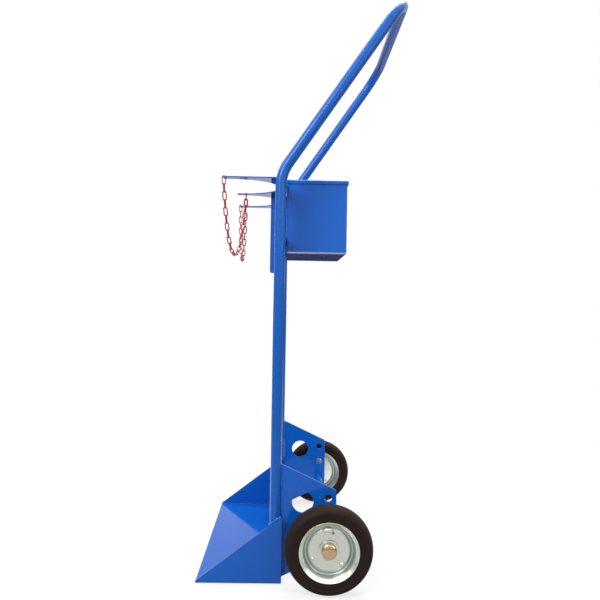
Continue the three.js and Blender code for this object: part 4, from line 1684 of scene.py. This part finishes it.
@dataclass(frozen=True)
class RetainingChain:
    """One retaining chain with its ring on the horn and its hook on the middle prong."""

    side: Side
    links: int = 22
    wire: float = 3 * MM
    end_wire: float = 2.5 * MM
    end_wire_sides: int = 14
    width: float = 11.5 * MM
    length: float = 25 * MM
    bite: float = 0.4 * MM
    clearance: float = 0.3 * MM
    hook_bend: float = 2.2 * MM
    hook_bend_steps: int = 8
    hook_mouth: float = 5 * MM
    ring_steps: int = 16
    search_steps: int = 80
    search_reach: float = 100.0
    steepest: float = 300.0

    def build(self) -> None:
        """Builds the chain's pieces."""
        label = self.side.label
        wire = rod_tool(f"chain_wire_{label}", self.end_wire, self.end_wire_sides, CHAIN_ENAMEL)
        ring_at = self._ring(wire)
        hook_at = self._hook(wire)
        points = self._hanging(ring_at, hook_at)
        level = (hook_at - ring_at) * Vector((1, 1, 0))
        sideways = Vector((-level.y, level.x, 0.0)).normalized()
        places, along, across = [], [], []
        for index, (first, second) in enumerate(zip(points, points[1:])):
            tangent = (second - first).normalized()
            places.append((first + second) / 2)
            along.append(tangent)
            across.append(sideways if index % 2 else sideways.cross(tangent))
        tool = chain_tool(f"chain_links_{label}", self.wire, self.width, self.length, CHAIN_ENAMEL)
        base = point_mesh(f"link_points_{label}", places, along, across)
        tool.run(f"chain_{label}_links", base, self.side.chain, f"chain_{label}")

    def _seat(self) -> float:
        """Height of a chain end's joint above the wire that it hangs on."""
        return self.wire / 2 + self.clearance + self.bite / 2

    def _ring(self, wire: NodeTool) -> Vector:
        """Bends the oval ring on the horn.

        Args:
            wire: The wire's tool.

        Returns:
            Where the chain's first joint is.
        """
        node = f"chain_ring_{self.side.label}"
        low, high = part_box(node)
        centre = (low + high) / 2
        bend = (self.width - self.wire) / 2
        straight = (self.length - self.width) / 2
        path = []
        for step in range(2 * self.ring_steps):
            turn = math.pi * (step + 0.5) / self.ring_steps
            rise = math.copysign(straight, math.sin(turn))
            path.append(centre + Vector((bend * math.cos(turn), 0.0, bend * math.sin(turn) + rise)))
        wire.run(f"{node}_bent", path_mesh(f"{node}_path", [path], closed=True), Body.FRAME, node)
        return centre - Vector((0, 0, (self.length - self.wire) / 2 - self._seat()))

    def _hook(self, wire: NodeTool) -> Vector:
        """Bends the open hook through the prong's hole.

        Args:
            wire: The wire's tool.

        Returns:
            Where the chain's last joint is.
        """
        node = f"chain_hook_{self.side.label}"
        low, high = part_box(node)
        x = (low.x + high.x) / 2
        half = self.wire / 2
        edges = (low.y + half, high.y - half)
        inner, outer = edges if self.side is Side.RIGHT else reversed(edges)
        top, bottom = high.z - half, low.z + half
        mouth = bottom + self.hook_bend + self.wire
        corners = [(outer, mouth + self.hook_mouth), (outer, top), (inner, top)]
        corners += [(inner, bottom), (outer, bottom), (outer, mouth)]
        radii = [self.hook_bend] * (len(corners) - 2)
        route = rounded_route([Vector((x, y, z)) for y, z in corners], radii, self.hook_bend_steps)
        wire.run(f"{node}_bent", path_mesh(f"{node}_path", [route]), Body.FRAME, node)
        return Vector((x, (low.y + high.y) / 2, bottom + self._seat()))

    def _hanging(self, start: Vector, end: Vector) -> Points:
        """Hangs the chain's joints on a catenary.

        Args:
            start: The first joint.
            end: The last joint.

        Returns:
            The joints, evenly spaced along the chain.
        """
        length = (self.length - 2 * self.wire + self.bite) * self.links
        level = (end - start) * Vector((1, 1, 0))
        span, drop = level.length, end.z - start.z
        wanted = math.sqrt(length**2 - drop**2)
        low, high = span / self.search_reach, span * self.search_reach
        for _ in range(self.search_steps):
            middle = (low + high) / 2
            steepness = span / (2 * middle)
            if steepness < self.steepest and 2 * middle * math.sinh(steepness) < wanted:
                high = middle
            else:
                low = middle
        slack = (low + high) / 2
        lowest = span / 2 - slack * math.atanh(drop / length)
        first_arc = slack * math.sinh(-lowest / slack)
        base = start.z - slack * math.cosh(-lowest / slack)
        points = []
        for step in range(self.links + 1):
            distance = lowest + slack * math.asinh((first_arc + length * step / self.links) / slack)
            point = start + level * (distance / span)
            point.z = base + slack * math.cosh((distance - lowest) / slack)
            points.append(point)
        return points


# Stage, light and camera


class Lamp(NamedTuple):
    """A soft lamp: its name, where it hangs, its width and its power in watts."""

    name: str
    place: Place
    size: float
    power: float


@dataclass(frozen=True)
class Studio:
    """The pale floor, the white surroundings, the lamps and the camera."""

    floor_size: float = 8.0
    floor_level: float = -0.4 * MM
    floor_colour: float = 0.92
    floor_bounce: float = 0.4
    # Glow of the floor in mirrors, in front of the cart and behind it.
    front_floor: float = 0.77
    back_floor: float = 2.0
    front_floor_end: tuple[float, float] = (-0.25, 0.05)
    shadow_lift: float = 0.75
    fade: tuple[float, float] = (0.7, 2.2)
    ambient: float = 0.36
    front_mirror: float = 0.35
    front_edge: tuple[float, float] = (-0.5, 0.3)
    window_mirror: float = 0.9
    window_foot: tuple[float, float] = (0.0, 0.07)
    window_top: tuple[float, float] = (0.28, 0.16)
    window_side: tuple[float, float] = (-0.6, -0.85)
    overhead_mirror: float = 1.8
    overhead_edge: tuple[float, float] = (0.15, 0.6)
    horizon_shade: float = 0.99
    horizon_foot: tuple[float, float] = (-0.135, -0.1)
    horizon_top: tuple[float, float] = (0.02, -0.02)
    horizon_side: tuple[float, float] = (0.3, 0.7)
    lamps: tuple[Lamp, ...] = (
        Lamp("key_lamp", (-1.3, -2.1, 2.3), 1.6, 72.0),
        Lamp("fill_lamp", (2.4, -2.2, 1.8), 2.2, 30.0),
        Lamp("top_lamp", (0.3, 0.6, 3.4), 2.4, 110.0),
    )
    lamp_target: Place = (0.05, 0.0, 0.6)
    camera_place: Place = (0.033, -1.677, 0.684)
    focal_pixels: float = 590.8
    image_pixels: float = 600.0
    sensor: float = 36.0
    yaw: float = 0.0125
    pitch: float = -0.0034
    roll: float = 0.0176

    def build(self) -> None:
        """Sets up everything round the cart."""
        self._world()
        self._floor()
        for lamp in self.lamps:
            self._hang(lamp)
        self._camera()
        bpy.context.scene.view_settings.view_transform = "Standard"

    def _world(self) -> None:
        """Makes the surroundings white to the camera.

        In mirrors they are white behind and above the cart, with a dark band under the horizon, and darker
        in front of it, with a bright window.
        """
        world = bpy.data.worlds.new("white_surroundings")
        bpy.context.scene.world = world
        world.use_nodes = True
        world.node_tree.nodes.clear()
        sheet = NodeSheet(world.node_tree)
        ray = sheet.add("ShaderNodeLightPath").outputs
        way = sheet.put("ShaderNodeTexCoord", "Generated")
        across, up = sheet.coordinate(way, "Y"), sheet.coordinate(way, "Z")
        behind = sheet.ramp(across, *self.front_edge, self.front_mirror, 1.0)
        window = sheet.math("MULTIPLY", sheet.ramp(up, *self.window_foot), sheet.ramp(up, *self.window_top))
        beside = sheet.ramp(across, *self.window_side, 0.0, self.window_mirror)
        around = sheet.math("ADD", behind, sheet.math("MULTIPLY", window, beside))
        overhead = sheet.ramp(up, *self.overhead_edge, 0.0, self.overhead_mirror)
        band = sheet.math("MULTIPLY", sheet.ramp(up, *self.horizon_foot), sheet.ramp(up, *self.horizon_top))
        horizon = sheet.math("MULTIPLY", band, sheet.ramp(across, *self.horizon_side))
        open_share = sheet.math("SUBTRACT", 1.0, sheet.math("MULTIPLY", horizon, self.horizon_shade))
        in_mirrors = sheet.math("MULTIPLY", sheet.math("MAXIMUM", around, overhead), open_share)
        clear = sheet.math("MAXIMUM", ray["Is Glossy Ray"], ray["Is Transmission Ray"])
        strength = sheet.blend(ray["Is Camera Ray"], sheet.blend(clear, self.ambient, in_mirrors), 1.0)
        white = {"Color": (1.0, 1.0, 1.0, 1.0), "Strength": strength}
        glow = sheet.put("ShaderNodeBackground", "Background", white)
        sheet.add("ShaderNodeOutputWorld", {"Surface": glow})

    def _floor(self) -> None:
        """Lays a pale floor that fades into the white surroundings and keeps a faint shadow."""
        half = self.floor_size / 2
        ways = ((-1, -1), (1, -1), (1, 1), (-1, 1))
        corners = [(half * x, half * y, self.floor_level) for x, y in ways]
        mesh = bpy.data.meshes.new("floor")
        mesh.from_pydata(corners, [], [(0, 1, 2, 3)])
        mesh.materials.append(self._floor_paint())
        put_in_scene("floor", mesh)

    def _floor_paint(self) -> Material:
        """Mixes the floor's paint with a glow that only the camera and mirrors see.

        Returns:
            The material.
        """
        material = bpy.data.materials.new("pale_floor")
        material.use_nodes = True
        material.node_tree.nodes.clear()
        sheet = NodeSheet(material.node_tree)
        ray = sheet.add("ShaderNodeLightPath").outputs
        in_mirrors = sheet.math("MAXIMUM", ray["Is Glossy Ray"], ray["Is Transmission Ray"])
        seen = sheet.math("MAXIMUM", ray["Is Camera Ray"], in_mirrors)
        shade = sheet.blend(seen, self.floor_bounce, self.floor_colour)
        paint = sheet.put("ShaderNodeBsdfDiffuse", "BSDF", {"Color": shade})
        place = sheet.put("ShaderNodeTexCoord", "Object")
        # In mirrors the floor glows, dimmer than white in front of the cart and brighter than white behind
        # it; the camera sees it white.
        across = sheet.coordinate(place, "Y")
        mirror_glow = sheet.ramp(across, *self.front_floor_end, self.front_floor, self.back_floor)
        strength = sheet.blend(ray["Is Camera Ray"], mirror_glow, 1.0)
        white = sheet.put("ShaderNodeEmission", "Emission", {"Strength": strength})
        lift = sheet.math("MULTIPLY", seen, self.shadow_lift)
        bright = sheet.put("ShaderNodeMixShader", "Shader", {"Fac": lift, 1: paint, 2: white})
        distance = sheet.put("ShaderNodeVectorMath", "Value", {0: place}, operation="LENGTH")
        clear = sheet.put("ShaderNodeBsdfTransparent", "BSDF")
        share = sheet.ramp(distance, *self.fade)
        faded = sheet.put("ShaderNodeMixShader", "Shader", {"Fac": share, 1: bright, 2: clear})
        sheet.add("ShaderNodeOutputMaterial", {"Surface": faded})
        return material

    def _hang(self, lamp: Lamp) -> None:
        """Hangs a lamp that looks at the cart's middle.

        Args:
            lamp: The lamp.
        """
        data = bpy.data.lights.new(lamp.name, "AREA")
        data.shape = "DISK"
        data.size = lamp.size
        data.energy = lamp.power
        hung = put_in_scene(lamp.name, data)
        hung.location = lamp.place
        look = Vector(self.lamp_target) - Vector(lamp.place)
        hung.rotation_euler = look.to_track_quat("-Z", "Y").to_euler()

    def _camera(self) -> None:
        """Stands the camera at the photograph's place."""
        data = bpy.data.cameras.new("camera")
        data.sensor_width = self.sensor
        data.lens = self.focal_pixels / self.image_pixels * self.sensor
        camera = put_in_scene("camera", data)
        forward = Vector((math.sin(self.yaw), math.cos(self.yaw), math.tan(self.pitch)))
        turn = forward.to_track_quat("-Z", "Y").to_matrix() @ Matrix.Rotation(self.roll, 3, "Z")
        camera.matrix_world = Matrix.Translation(self.camera_place) @ turn.to_4x4()
        bpy.context.scene.camera = camera


def main() -> None:
    """Builds the cart's looks round its frame."""
    logging.basicConfig(level=logging.INFO, format="%(name)s: %(message)s")
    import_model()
    axle_low, axle_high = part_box("axle")
    axle = Axis((axle_low.x + axle_high.x) / 2, (axle_low.z + axle_high.z) / 2)
    TubeFrame().build()
    ToeScoop().build()
    WheelBrackets().build(axle)
    AxleGear().build(axle)
    for side in Side:
        Wheel(side).build(axle)
    Toolbox().build()
    for side in Side:
        RetainingChain(side).build()
    Studio().build()


if __name__ == "__main__":
    main()
